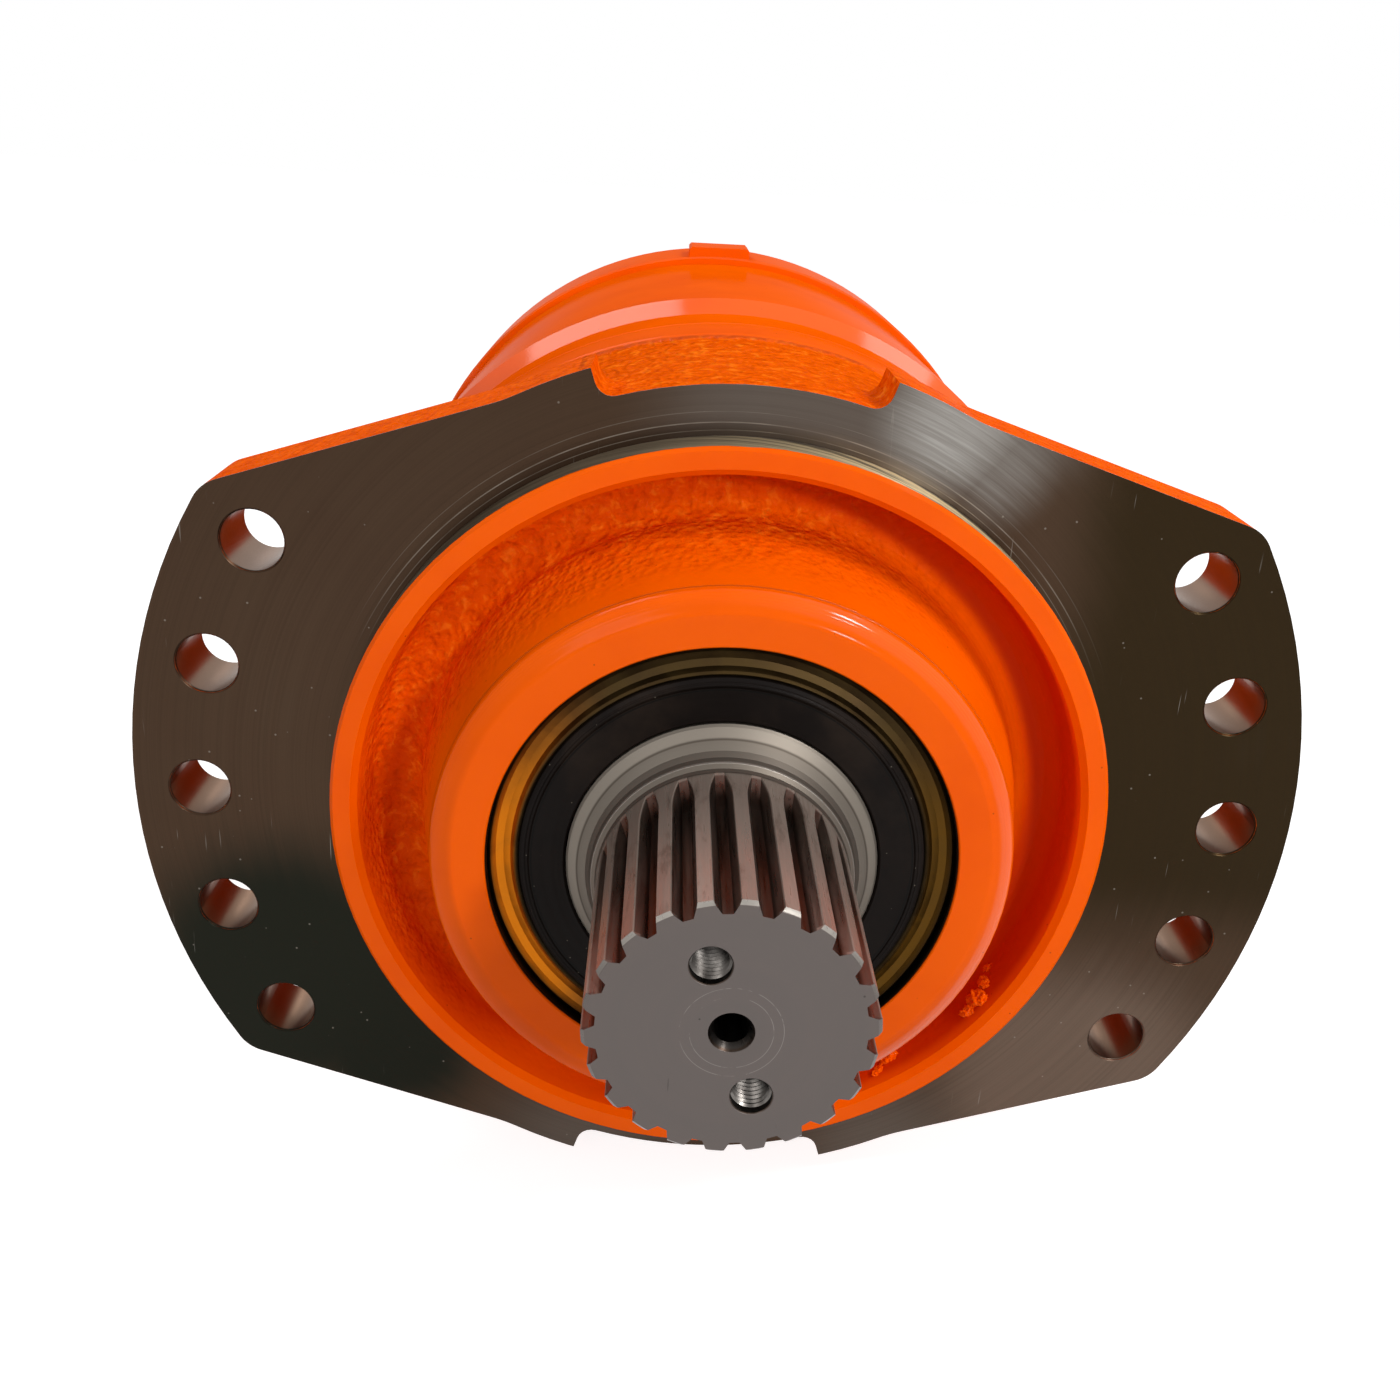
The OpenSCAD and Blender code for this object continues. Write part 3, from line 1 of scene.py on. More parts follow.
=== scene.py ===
"""Looks of a flange mounted radial piston motor with a splined shaft.

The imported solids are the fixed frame. This file gives each of them its finish, adds the small
pieces that the solids leave out, and sets up the camera, the floor and the lamps. Lengths are
metres unless a name ends in _mm. Y runs along the shaft, from the shaft's end at -Y to the brake
cover at +Y, Z points up, and the flange's mounting face is the plane Y = 0. Finishes read places
in millimetres, so their radii and steps are millimetres too.
"""

import logging
import math
from collections.abc import Callable
from dataclasses import dataclass, field
from enum import Enum

import bpy
from mathutils import Matrix, Vector

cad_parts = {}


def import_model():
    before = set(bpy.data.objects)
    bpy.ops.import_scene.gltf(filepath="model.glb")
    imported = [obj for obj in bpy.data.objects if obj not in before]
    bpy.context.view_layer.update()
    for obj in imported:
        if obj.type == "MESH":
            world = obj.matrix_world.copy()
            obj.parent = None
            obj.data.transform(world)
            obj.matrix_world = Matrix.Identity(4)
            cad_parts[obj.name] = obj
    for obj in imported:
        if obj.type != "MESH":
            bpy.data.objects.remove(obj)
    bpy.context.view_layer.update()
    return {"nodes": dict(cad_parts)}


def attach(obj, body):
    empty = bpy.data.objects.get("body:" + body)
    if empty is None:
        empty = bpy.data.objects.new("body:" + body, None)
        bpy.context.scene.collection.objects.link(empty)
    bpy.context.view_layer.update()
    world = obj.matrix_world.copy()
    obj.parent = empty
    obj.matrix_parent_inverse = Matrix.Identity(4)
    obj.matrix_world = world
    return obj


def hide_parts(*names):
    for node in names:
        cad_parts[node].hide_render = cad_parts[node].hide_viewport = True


LOG = logging.getLogger("motor")
MM = 0.001
HOUSING = "housing"
ROTOR = "shaft_rotor"
WHITE = (1.0, 1.0, 1.0)

Socket = bpy.types.NodeSocket
Colour = tuple[float, float, float]
Place = tuple[float, float, float]
Operand = Socket | float
Pieces = dict[str, bpy.types.Object]


def linear(red: int, green: int, blue: int) -> Colour:
    """Turn a screen colour into the linear light that Blender's nodes use.

    Args:
        red: Red from 0 to 255.
        green: Green from 0 to 255.
        blue: Blue from 0 to 255.

    Returns:
        The three linear values from 0 to 1.
    """

    def one(value: int) -> float:
        """Turn one channel into linear light."""
        share = value / 255
        return share / 12.92 if share <= 0.04045 else ((share + 0.055) / 1.055) ** 2.4

    return one(red), one(green), one(blue)


class Op(Enum):
    """Arithmetic of Blender's maths node."""

    ADD = "ADD"
    SUBTRACT = "SUBTRACT"
    MULTIPLY = "MULTIPLY"
    DIVIDE = "DIVIDE"
    LARGER = "MAXIMUM"
    SMALLER = "MINIMUM"
    ROOT = "SQRT"
    SIZE = "ABSOLUTE"
    ROUND = "ROUND"
    SINE = "SINE"
    COSINE = "COSINE"
    ANGLE = "ARCTAN2"


class Ray(Enum):
    """Kinds of ray that Blender's light path tells apart."""

    CAMERA = "Is Camera Ray"
    MIRROR = "Is Glossy Ray"
    THROUGH = "Is Transmission Ray"


class Nodes:
    """A node tree, with short words for adding nodes and joining them."""

    def __init__(self, tree: bpy.types.NodeTree) -> None:
        """Empty a tree and take it over.

        Args:
            tree: The tree that is filled.
        """
        self.tree = tree
        tree.nodes.clear()

    def add(self, kind: str) -> bpy.types.Node:
        """Add a node of a kind."""
        return self.tree.nodes.new("ShaderNode" + kind)

    def feed(self, target: Socket, value: Operand | Colour | Vector) -> None:
        """Link a socket, or set it where the value is a plain number or colour.

        Args:
            target: The input to feed.
            value: A socket, a number, a colour or a vector.
        """
        if isinstance(value, bpy.types.NodeSocket):
            self.tree.links.new(value, target)
        elif isinstance(value, (int, float)):
            target.default_value = value
        else:
            fitted = list(value)
            if len(target.default_value) == 4 and len(fitted) == 3:
                fitted.append(1.0)
            target.default_value = fitted

    def math(self, op: Op, first: Operand, second: Operand = 0.0) -> Socket:
        """Work out one operation on one or two numbers.

        Args:
            op: The operation.
            first: First number.
            second: Second number.

        Returns:
            The result.
        """
        node = self.add("Math")
        node.operation = op.value
        self.feed(node.inputs[0], first)
        self.feed(node.inputs[1], second)
        return node.outputs[0]

    def plus(self, first: Operand, second: Operand) -> Socket:
        """Add two numbers."""
        return self.math(Op.ADD, first, second)

    def minus(self, first: Operand, second: Operand) -> Socket:
        """Take the second number off the first."""
        return self.math(Op.SUBTRACT, first, second)

    def times(self, *factors: Operand) -> Socket:
        """Multiply two or more numbers.

        Args:
            *factors: The numbers.

        Returns:
            The product.
        """
        result = factors[0]
        for factor in factors[1:]:
            result = self.math(Op.MULTIPLY, result, factor)
        return result

    def either(self, *masks: Operand) -> Socket:
        """Join masks, so that any one of them counts.

        Args:
            *masks: Two or more masks.

        Returns:
            The largest of them.
        """
        result = masks[0]
        for mask in masks[1:]:
            result = self.math(Op.LARGER, result, mask)
        return result

    def length(self, first: Socket, second: Socket) -> Socket:
        """Return the length of the line whose two legs are given."""
        return self.math(Op.ROOT, self.plus(self.times(first, first), self.times(second, second)))

    def seen(self, *rays: Ray) -> Socket:
        """Return 1 for the named kinds of ray and 0 for the others."""
        path = self.add("LightPath")
        return self.either(*(path.outputs[ray.value] for ray in rays))


class Sheet(Nodes):
    """The node sheet of one material, with a maker's words for its nodes.

    Positions are in millimetres here, so sizes read as they would on a drawing.
    """

    def __init__(self, name: str) -> None:
        """Start an empty sheet with its shader and output.

        Args:
            name: Name of the material.
        """
        self.material = bpy.data.materials.new(name)
        self.material.use_nodes = True
        super().__init__(self.material.node_tree)
        self.shader = self.add("BsdfPrincipled")
        output = self.add("OutputMaterial")
        self.feed(output.inputs["Surface"], self.shader.outputs["BSDF"])
        scale = self.add("VectorMath")
        scale.operation = "SCALE"
        scale.inputs["Scale"].default_value = 1 / MM
        self.feed(scale.inputs[0], self.add("TexCoord").outputs["Object"])
        self.place = scale.outputs["Vector"]
        split = self.add("SeparateXYZ")
        self.feed(split.inputs[0], self.place)
        self.x, self.y, self.z = split.outputs
        self.radius = self.length(self.x, self.z)

    def step(
        self,
        value: Operand,
        low: float,
        high: float,
        to_low: float = 0.0,
        to_high: float = 1.0,
    ) -> Socket:
        """Map a value smoothly from one range to another and hold it at both ends.

        Args:
            value: The number that is read.
            low: Where the step starts.
            high: Where the step ends.
            to_low: Result below the step.
            to_high: Result above the step.

        Returns:
            The mapped number.
        """
        node = self.add("MapRange")
        node.interpolation_type = "SMOOTHSTEP"
        node.clamp = True
        for name, number in (
            ("Value", value),
            ("From Min", low),
            ("From Max", high),
            ("To Min", to_low),
            ("To Max", to_high),
        ):
            self.feed(node.inputs[name], number)
        return node.outputs["Result"]

    def fall(self, value: Operand, low: float, high: float) -> Socket:
        """Return 1 below the first number and 0 above the second."""
        return self.step(value, low, high, 1.0, 0.0)

    def no(self, mask: Operand) -> Socket:
        """Turn a mask round."""
        return self.fall(mask, 0.0, 1.0)

    def band(self, value: Operand, low: float, high: float, soft: float) -> Socket:
        """Mark what lies between two values.

        Args:
            value: The number that is read.
            low: Lower end.
            high: Upper end.
            soft: Half the width of both edges.

        Returns:
            1 between the ends and 0 outside.
        """
        return self.times(
            self.step(value, low - soft, low + soft),
            self.fall(value, high - soft, high + soft),
        )

    def stretch(self, scale: Place, turn: Place = (0, 0, 0)) -> Socket:
        """Return the place with its axes turned and then scaled.

        Args:
            scale: Factor on each axis.
            turn: Turn about each axis in degrees.

        Returns:
            The stretched place.
        """
        node = self.add("Mapping")
        self.feed(node.inputs["Vector"], self.place)
        self.feed(node.inputs["Rotation"], [math.radians(angle) for angle in turn])
        self.feed(node.inputs["Scale"], scale)
        return node.outputs["Vector"]

    def rounds(self, radial: float, around: float, along_axis: float) -> Socket:
        """Return a place for patterns that run round the shaft.

        Args:
            radial: Factor on the distance from the axis.
            around: Factor on the two directions across the axis.
            along_axis: Factor on the distance along the axis.

        Returns:
            A vector of the scaled radius, place along the axis and place across it.
        """
        node = self.add("CombineXYZ")
        reach = self.math(Op.LARGER, self.radius, 0.01)
        side = self.times(self.math(Op.DIVIDE, self.x, reach), around)
        self.feed(node.inputs[0], self.times(reach, radial))
        self.feed(node.inputs[1], self.plus(self.times(self.y, along_axis), side))
        self.feed(node.inputs[2], self.times(self.math(Op.DIVIDE, self.z, reach), around))
        return node.outputs[0]

    def noise(
        self,
        size_mm: float,
        detail: float = 3.0,
        rough: float = 0.5,
        place: Socket | None = None,
        twist: float = 0.0,
    ) -> Socket:
        """Return a noise from 0 to 1.

        Args:
            size_mm: Size of the largest lumps in millimetres.
            detail: Number of finer layers.
            rough: Weight of the finer layers.
            place: Place that is read, or None for the object's own place.
            twist: Distortion of the pattern.

        Returns:
            The noise value.
        """
        node = self.add("TexNoise")
        for name, value in (
            ("Vector", place or self.place),
            ("Scale", 1 / size_mm),
            ("Detail", detail),
            ("Roughness", rough),
            ("Distortion", twist),
        ):
            self.feed(node.inputs[name], value)
        return node.outputs["Fac"]

    def cells(self, size_mm: float, smooth: float = 0.0) -> Socket:
        """Scatter cells.

        Args:
            size_mm: Spacing of the cells in millimetres.
            smooth: How far neighbours run together.

        Returns:
            The distance to the nearest cell's centre, in spacings.
        """
        node = self.add("TexVoronoi")
        node.feature = "SMOOTH_F1" if smooth else "F1"
        if smooth:
            node.inputs["Smoothness"].default_value = smooth
        self.feed(node.inputs["Vector"], self.place)
        node.inputs["Scale"].default_value = 1 / size_mm
        return node.outputs["Distance"]

    def specks(self, spacing_mm: float, core: float, edge: float) -> Socket:
        """Return the mask of scattered dots, their radii given as shares of the spacing."""
        return self.fall(self.cells(spacing_mm), core, edge)

    def blend(self, share: Operand, first: Socket | Colour, second: Socket | Colour) -> Socket:
        """Mix two colours.

        Args:
            share: 0 for the first colour, 1 for the second.
            first: First colour.
            second: Second colour.

        Returns:
            The mixed colour.
        """
        node = self.add("Mix")
        node.data_type = "RGBA"
        self.feed(node.inputs["Factor"], share)
        self.feed(node.inputs[6], first)
        self.feed(node.inputs[7], second)
        return node.outputs[2]

    def tint(
        self, colour: Socket | Colour, *coats: tuple[Operand, Socket | Colour]
    ) -> Socket | Colour:
        """Lay colours over one another, each through its own mask.

        Args:
            colour: Colour that lies lowest.
            *coats: A mask and a colour for each coat, from the lowest up.

        Returns:
            The finished colour.
        """
        for mask, coat in coats:
            colour = self.blend(mask, colour, coat)
        return colour

    def between(self, share: Operand, first: Operand, second: Operand) -> Socket:
        """Mix two numbers.

        Args:
            share: 0 for the first, 1 for the second.
            first: First number.
            second: Second number.

        Returns:
            The mixed number.
        """
        node = self.add("Mix")
        node.data_type = "FLOAT"
        self.feed(node.inputs["Factor"], share)
        self.feed(node.inputs[2], first)
        self.feed(node.inputs[3], second)
        return node.outputs[0]

    def relief(self, height_mm: Operand) -> Socket:
        """Turn a height into a normal.

        Args:
            height_mm: Height above the mesh in millimetres.

        Returns:
            The bent normal.
        """
        node = self.add("Bump")
        node.inputs["Distance"].default_value = MM
        node.inputs["Strength"].default_value = 1.0
        self.feed(node.inputs["Height"], height_mm)
        return node.outputs["Normal"]

    def finish(
        self,
        colour: Socket | Colour,
        roughness: Operand,
        metallic: Operand,
        normal: Socket,
        shine: float = 0.5,
    ) -> bpy.types.Material:
        """Feed the shader and return the finished material.

        Args:
            colour: Base colour.
            roughness: Roughness from 0 to 1.
            metallic: Share of bare metal from 0 to 1.
            normal: Bent normal.
            shine: Strength of the clear reflection on what isn't metal.

        Returns:
            The material.
        """
        for name, value in (
            ("Specular IOR Level", shine),
            ("Base Color", colour),
            ("Roughness", roughness),
            ("Metallic", metallic),
            ("Normal", normal),
        ):
            self.feed(self.shader.inputs[name], value)
        return self.material

    def varnish(
        self,
        weight: float,
        at_rim: float,
        glancing: float,
        roughness: float,
        normal: Socket,
        share: Operand = 1.0,
    ) -> None:
        """Lay a clear coat over the finish, whose mirror weakens towards the rim.

        Args:
            weight: Weight of the coat where the surface faces the eye.
            at_rim: Weight of the coat where the surface turns away.
            glancing: Weight of the coat at the very edge of the outline.
            roughness: Roughness of the coat.
            normal: Bent normal of the coat.
            share: Factor on the weight, place by place.
        """
        rim = self.add("LayerWeight")
        rim.inputs["Blend"].default_value = 0.5
        facing = rim.outputs["Facing"]
        coat = self.plus(
            self.step(facing, 0.5, 0.85, weight, at_rim),
            self.step(facing, 0.9, 0.99, 0.0, glancing),
        )
        self.feed(self.shader.inputs["Coat Weight"], self.times(coat, share))
        self.shader.inputs["Coat Roughness"].default_value = roughness
        self.feed(self.shader.inputs["Coat Normal"], normal)


@dataclass(frozen=True)
class Enamel:
    """Glossy orange enamel over machined or cast metal."""

    name: str = "orange_enamel"
    colour: Colour = linear(239, 91, 0)
    deep: Colour = linear(228, 79, 0)
    dirt: Colour = linear(120, 40, 10)
    hollow_shade: Colour = linear(206, 66, 0)
    peak_highlight: Colour = linear(255, 128, 22)
    roughness: float = 0.3
    shine: float = 0.0
    coat_weight: float = 0.12
    rim_weight: float = 0.02
    glancing_weight: float = 0.16
    coat_roughness: float = 0.1
    drift_mm: float = 46.0
    dirt_spacing_mm: float = 7.5
    peel_size_mm: float = 1.6
    peel_mm: float = 0.008
    lump_size_mm: float = 4.2
    pit_size_mm: float = 2.2
    pit_depth: float = 0.55
    gloss_size_mm: float = 14.0
    cast_mm: float = 0.0

    def coat(self, sheet: Sheet, rough_cast: Operand) -> tuple[Socket, Socket, Socket]:
        """Lay the enamel on a sheet.

        Args:
            sheet: The sheet that is worked on.
            rough_cast: Height of the cast grain under the paint, in millimetres.

        Returns:
            Colour, roughness and height of the painted surface.
        """
        lumps = sheet.noise(self.lump_size_mm, 5, 0.62, twist=0.4)
        pits = sheet.step(sheet.cells(self.pit_size_mm, smooth=0.6), 0.1, 0.75)
        colour = sheet.tint(
            self.colour,
            (sheet.step(sheet.noise(self.drift_mm, 4, 0.6), 0.35, 0.75, 0.0, 0.6), self.deep),
            (sheet.times(sheet.specks(self.dirt_spacing_mm, 0.03, 0.045), 0.5), self.dirt),
            # painted shade and highlight: darker in the hollows of the cast grain, lighter on its
            # peaks
            (
                sheet.times(
                    sheet.fall(lumps, 0.36, 0.5), sheet.step(rough_cast, 0.1, 0.6, 0.0, 0.5)
                ),
                self.hollow_shade,
            ),
            (
                sheet.times(
                    sheet.step(lumps, 0.52, 0.68), sheet.step(rough_cast, 0.5, 1.0, 0.0, 0.75)
                ),
                self.peak_highlight,
            ),
        )
        peel = sheet.times(sheet.minus(sheet.noise(self.peel_size_mm, 2), 0.5), self.peel_mm)
        grain = sheet.times(sheet.plus(lumps, sheet.times(pits, self.pit_depth)), rough_cast)
        uneven = sheet.noise(self.gloss_size_mm, 4, 0.6)
        gloss = sheet.step(uneven, 0.3, 0.7, self.roughness, self.roughness + 0.1)
        return colour, gloss, sheet.plus(peel, grain)

    def glaze(self, sheet: Sheet, normal: Socket, share: Operand = 1.0) -> None:
        """Put the enamel's gloss over a sheet.

        Args:
            sheet: The sheet that is worked on.
            normal: Bent normal of the coat.
            share: Factor on the coat's weight, place by place.
        """
        sheet.varnish(
            self.coat_weight,
            self.rim_weight,
            self.glancing_weight,
            self.coat_roughness,
            normal,
            share,
        )

    def make(self) -> bpy.types.Material:
        """Make the enamel as a finish of its own.

        Returns:
            The material.
        """
        sheet = Sheet(self.name)
        colour, gloss, height = self.coat(sheet, self.cast_mm)
        relief = sheet.relief(height)
        self.glaze(sheet, relief)
        return sheet.finish(colour, gloss, 0.0, relief, self.shine)


@dataclass(frozen=True)
class TurnedSteel:
    """Bare steel from the lathe, with rings round the shaft's axis."""

    name: str = "turned_steel"
    colour: Colour = linear(120, 116, 113)
    dark: Colour = linear(84, 80, 77)
    roughness: float = 0.34
    ring_mm: float = 0.45
    ring_height_mm: float = 0.004
    stain: float = 0.4
    patch_mm: float = 24.0

    def make(self) -> bpy.types.Material:
        """Make the turned steel.

        Returns:
            The material.
        """
        sheet = Sheet(self.name)
        fine = sheet.noise(self.ring_mm, 3, 0.7, sheet.rounds(1.0, 0.25, 1.0))
        wide = sheet.noise(self.ring_mm * 9, 4, 0.6, sheet.rounds(1.0, 1.2, 1.0))
        patch = sheet.noise(self.patch_mm, 5, 0.65, twist=0.6)
        share = sheet.plus(sheet.times(wide, 0.6), sheet.times(patch, self.stain))
        colour = sheet.blend(sheet.step(share, 0.3, 0.75), self.colour, self.dark)
        roughness = sheet.step(
            sheet.plus(fine, patch), 0.6, 1.4, self.roughness - 0.07, self.roughness + 0.09
        )
        height = sheet.times(sheet.plus(fine, sheet.times(wide, 0.8)), self.ring_height_mm)
        return sheet.finish(colour, roughness, 1.0, sheet.relief(height))


@dataclass(frozen=True)
class PlainMetal:
    """Metal of the inner pieces and small parts, with a fine grain and stains."""

    name: str
    colour: Colour
    dark: Colour
    roughness: float
    metallic: float = 1.0
    grain_mm: float = 0.5
    grain_height_mm: float = 0.004
    patch_mm: float = 11.0
    gloss_size_mm: float = 3.5

    def make(self) -> bpy.types.Material:
        """Make the metal.

        Returns:
            The material.
        """
        sheet = Sheet(self.name)
        patch = sheet.noise(self.patch_mm, 5, 0.65, twist=0.5)
        colour = sheet.blend(sheet.step(patch, 0.3, 0.72), self.colour, self.dark)
        uneven = sheet.noise(self.gloss_size_mm, 4, 0.6)
        roughness = sheet.step(uneven, 0.3, 0.7, self.roughness - 0.06, self.roughness + 0.1)
        grain = sheet.noise(self.grain_mm, 3, 0.6, sheet.rounds(1.0, 2.0, 1.0))
        relief = sheet.relief(sheet.times(grain, self.grain_height_mm))
        return sheet.finish(colour, roughness, self.metallic, relief)


@dataclass(frozen=True)
class Zone:
    """A soft round patch on the flange's face."""

    x: float
    z: float
    reach: float
    edge: float

    def on(self, sheet: Sheet) -> Socket:
        """Return 1 inside the patch and 0 outside it."""
        away = sheet.length(sheet.minus(sheet.x, self.x), sheet.minus(sheet.z, self.z))
        return sheet.fall(away, self.reach, self.edge)


@dataclass(frozen=True)
class FlangeCasting:
    """The front casting: orange enamel, with the flange, the pilot and the holes left bare."""

    name: str = "flange_casting"
    paint: Enamel = Enamel()
    pilot_r: float = 115.0
    pilot_front_y: float = -15.0
    bore_r: float = 66.25
    hole_r: float = 9.0
    hole_circle_r: float = 157.5
    hole_step: float = 15.0
    hole_reach: float = 2.0
    flange_t: float = 26.0
    spot_r: float = 17.0
    spot_depth: float = 2.0
    rim_y: float = 77.0
    hub_edge_r: float = 82.5
    hub_front_y: float = -34.0
    hub_rounding_mm: float = 2.2
    paint_film_mm: float = 0.08
    edge_gloss: float = 5.0
    trough_gloss: float = 0.3
    pilot_metallic: float = 0.45
    grooves: tuple[tuple[float, float, float], ...] = (
        (116.4, 116.6, 1.0),
        (118.5, 118.8, 1.0),
        (121.5, 121.7, 0.4),
    )
    dark_zones: tuple[Zone, ...] = (Zone(-134, -66, 20, 70), Zone(-104, -92, 6, 48))
    lower_right_zone: Zone = Zone(124, -96, 16, 66)
    # the foot zones place painted sheen, and the two glare zones a painted highlight
    foot_sheen_zones: tuple[Zone, ...] = (Zone(-40, -134, 6, 46), Zone(62, -128, 6, 40))
    glare_zone: Zone = Zone(58, 120, 4, 26)
    dim_glare_zone: Zone = Zone(72, 108, 2, 20)
    trough_shade: Colour = linear(196, 44, 0)
    brown: Colour = linear(62, 46, 35)
    mid_brown: Colour = linear(68, 53, 41)
    dark_brown: Colour = linear(43, 33, 20)
    low_brown: Colour = linear(94, 78, 67)
    sheen_grey: Colour = linear(84, 75, 68)
    darkest_brown: Colour = linear(29, 30, 24)
    glare: Colour = linear(152, 149, 144)
    ring_dark: Colour = linear(34, 27, 20)
    scratch: Colour = linear(156, 150, 142)
    nick: Colour = linear(146, 138, 128)
    ring_line: Colour = linear(150, 140, 128)
    bore_shade: Colour = linear(30, 22, 14)
    hole_steel: Colour = linear(124, 98, 80)
    pilot_left: Colour = linear(118, 106, 88)
    pilot_right_sheen: Colour = linear(244, 220, 172)
    pilot_dirt: Colour = linear(84, 75, 60)

    def hole_distance(self, sheet: Sheet) -> Socket:
        """Measure how far the nearest mounting hole is.

        Args:
            sheet: The sheet that is worked on.

        Returns:
            The distance to its axis.
        """
        side = sheet.math(Op.SIZE, sheet.x)
        step = math.radians(self.hole_step)
        angle = sheet.math(Op.ANGLE, sheet.z, side)
        index = sheet.math(Op.ROUND, sheet.math(Op.DIVIDE, angle, step))
        index = sheet.math(Op.SMALLER, index, self.hole_reach)
        snapped = sheet.times(sheet.math(Op.LARGER, index, -self.hole_reach), step)
        across = sheet.times(sheet.math(Op.COSINE, snapped), self.hole_circle_r)
        above = sheet.times(sheet.math(Op.SINE, snapped), self.hole_circle_r)
        return sheet.length(sheet.minus(side, across), sheet.minus(sheet.z, above))

    def bare(self, sheet: Sheet, hole: Socket) -> Socket:
        """Return the mask of bare steel.

        Args:
            sheet: The sheet that is worked on.
            hole: Distance from the nearest mounting hole.

        Returns:
            1 where the steel is bare and 0 where it is painted.
        """
        creep = sheet.minus(sheet.noise(9, 4, 0.65), 0.5)
        face = sheet.times(
            sheet.step(sheet.radius, self.pilot_r - 0.35, self.pilot_r - 0.2),
            sheet.step(
                sheet.plus(sheet.y, sheet.times(creep, 2.6)),
                self.pilot_front_y + 1.6,
                self.pilot_front_y + 1.9,
            ),
            sheet.fall(sheet.plus(sheet.y, sheet.times(creep, 0.9)), 0.25, 0.5),
        )
        holes = sheet.times(
            sheet.fall(hole, self.hole_r + 0.15, self.hole_r + 0.35),
            sheet.fall(sheet.y, self.flange_t + 0.5, self.flange_t + 1.0),
        )
        ragged = sheet.plus(hole, sheet.times(creep, 1.4))
        seat_y = self.flange_t - self.spot_depth
        back = sheet.times(
            sheet.fall(ragged, self.spot_r - 0.4, self.spot_r),
            sheet.band(sheet.y, seat_y - 0.4, seat_y + 0.6, 0.1),
        )
        bore = sheet.fall(sheet.radius, self.bore_r + 0.2, self.bore_r + 0.5)
        return sheet.either(face, holes, back, bore)

    def grain(self, sheet: Sheet) -> Socket:
        """Work out how coarse the cast skin is.

        Args:
            sheet: The sheet that is worked on.

        Returns:
            Height of the grain in millimetres.
        """
        upper_left = sheet.step(sheet.minus(sheet.z, sheet.x), -30.0, 90.0, 0.16, 1.0)
        trough = sheet.times(
            sheet.band(sheet.radius, 86.5, 108.5, 1.5), sheet.step(sheet.y, -16.0, -2.0)
        )
        cone = sheet.times(
            sheet.band(sheet.radius, 83.5, 93.0, 1.0),
            sheet.step(sheet.y, self.hub_front_y, -12.0),
        )
        skin = sheet.times(
            sheet.step(sheet.radius, 116.0, 118.0),
            sheet.fall(sheet.y, self.rim_y - 1.5, self.rim_y),
        )
        notch = sheet.times(
            sheet.band(sheet.radius, 122.0, 141.0, 1.0),
            sheet.fall(sheet.math(Op.SIZE, sheet.x), 44.0, 47.0),
        )
        return sheet.either(
            sheet.times(trough, upper_left),
            sheet.times(cone, upper_left, 0.7),
            sheet.times(skin, 0.7),
            sheet.times(skin, notch, 1.5),
            0.012,
        )

    def tone(self, sheet: Sheet) -> Socket:
        """Colour the ground face, uneven in patches: darker at the lower left and on the right,
        lighter brown at the lower right, with painted sheen at the top and the foot and a painted
        glare patch at the upper right.

        Args:
            sheet: The sheet that is worked on.

        Returns:
            The colour.
        """
        bands = sheet.noise(5.0, 4, 0.6, sheet.rounds(1.0, 1.0, 0.4))
        uneven = sheet.plus(
            sheet.times(sheet.minus(bands, 0.5), 0.22),
            sheet.times(sheet.minus(sheet.noise(50, 3), 0.5), 0.4),
        )

        def ragged(mask: Operand, low: float = 0.05, high: float = 0.95) -> Socket:
            """Return a mask whose soft edge follows the uneven noise."""
            return sheet.step(sheet.plus(mask, uneven), low, high)

        right = sheet.times(sheet.step(sheet.x, 76.0, 122.0), sheet.step(sheet.z, -62.0, -8.0))
        top = sheet.times(
            sheet.step(sheet.z, 92.0, 124.0),
            sheet.step(sheet.x, -50.0, 10.0),
            sheet.fall(sheet.x, 80.0, 112.0),
        )
        oily = sheet.either(*(zone.on(sheet) for zone in self.dark_zones))
        foot_sheen = sheet.either(*(zone.on(sheet) for zone in self.foot_sheen_zones))
        glare = sheet.either(
            self.glare_zone.on(sheet), sheet.times(self.dim_glare_zone.on(sheet), 0.4)
        )
        speckle = sheet.step(sheet.noise(1.1, 3, 0.7, sheet.rounds(1.0, 3.0, 1.0)), 0.3, 0.75)
        return sheet.tint(
            self.brown,
            (ragged(0.5, 0.2, 0.8), self.mid_brown),
            (ragged(right), self.dark_brown),
            # darker patches at the lower left
            (ragged(oily, 0.02, 0.9), self.darkest_brown),
            # lighter brown patch at the lower right
            (ragged(self.lower_right_zone.on(sheet)), self.low_brown),
            # painted sheen: lighter grey patches at the foot of the face
            (sheet.times(foot_sheen, 0.85), self.sheen_grey),
            # painted sheen: lighter grey at the top of the face
            (ragged(top, 0.05, 1.0), self.sheen_grey),
            # painted highlight: the speckled glare patch at the upper right
            (sheet.times(glare, sheet.plus(sheet.times(speckle, 0.5), 0.5)), self.glare),
        )

    def pilot_wall(self, sheet: Sheet) -> Socket:
        """Mark the pilot ring's outer wall.

        Args:
            sheet: The sheet that is worked on.

        Returns:
            1 where it counts and 0 elsewhere.
        """
        return sheet.times(
            sheet.fall(sheet.y, -0.4, -0.2),
            sheet.step(sheet.radius, self.bore_r + 10.0, self.bore_r + 11.0),
        )

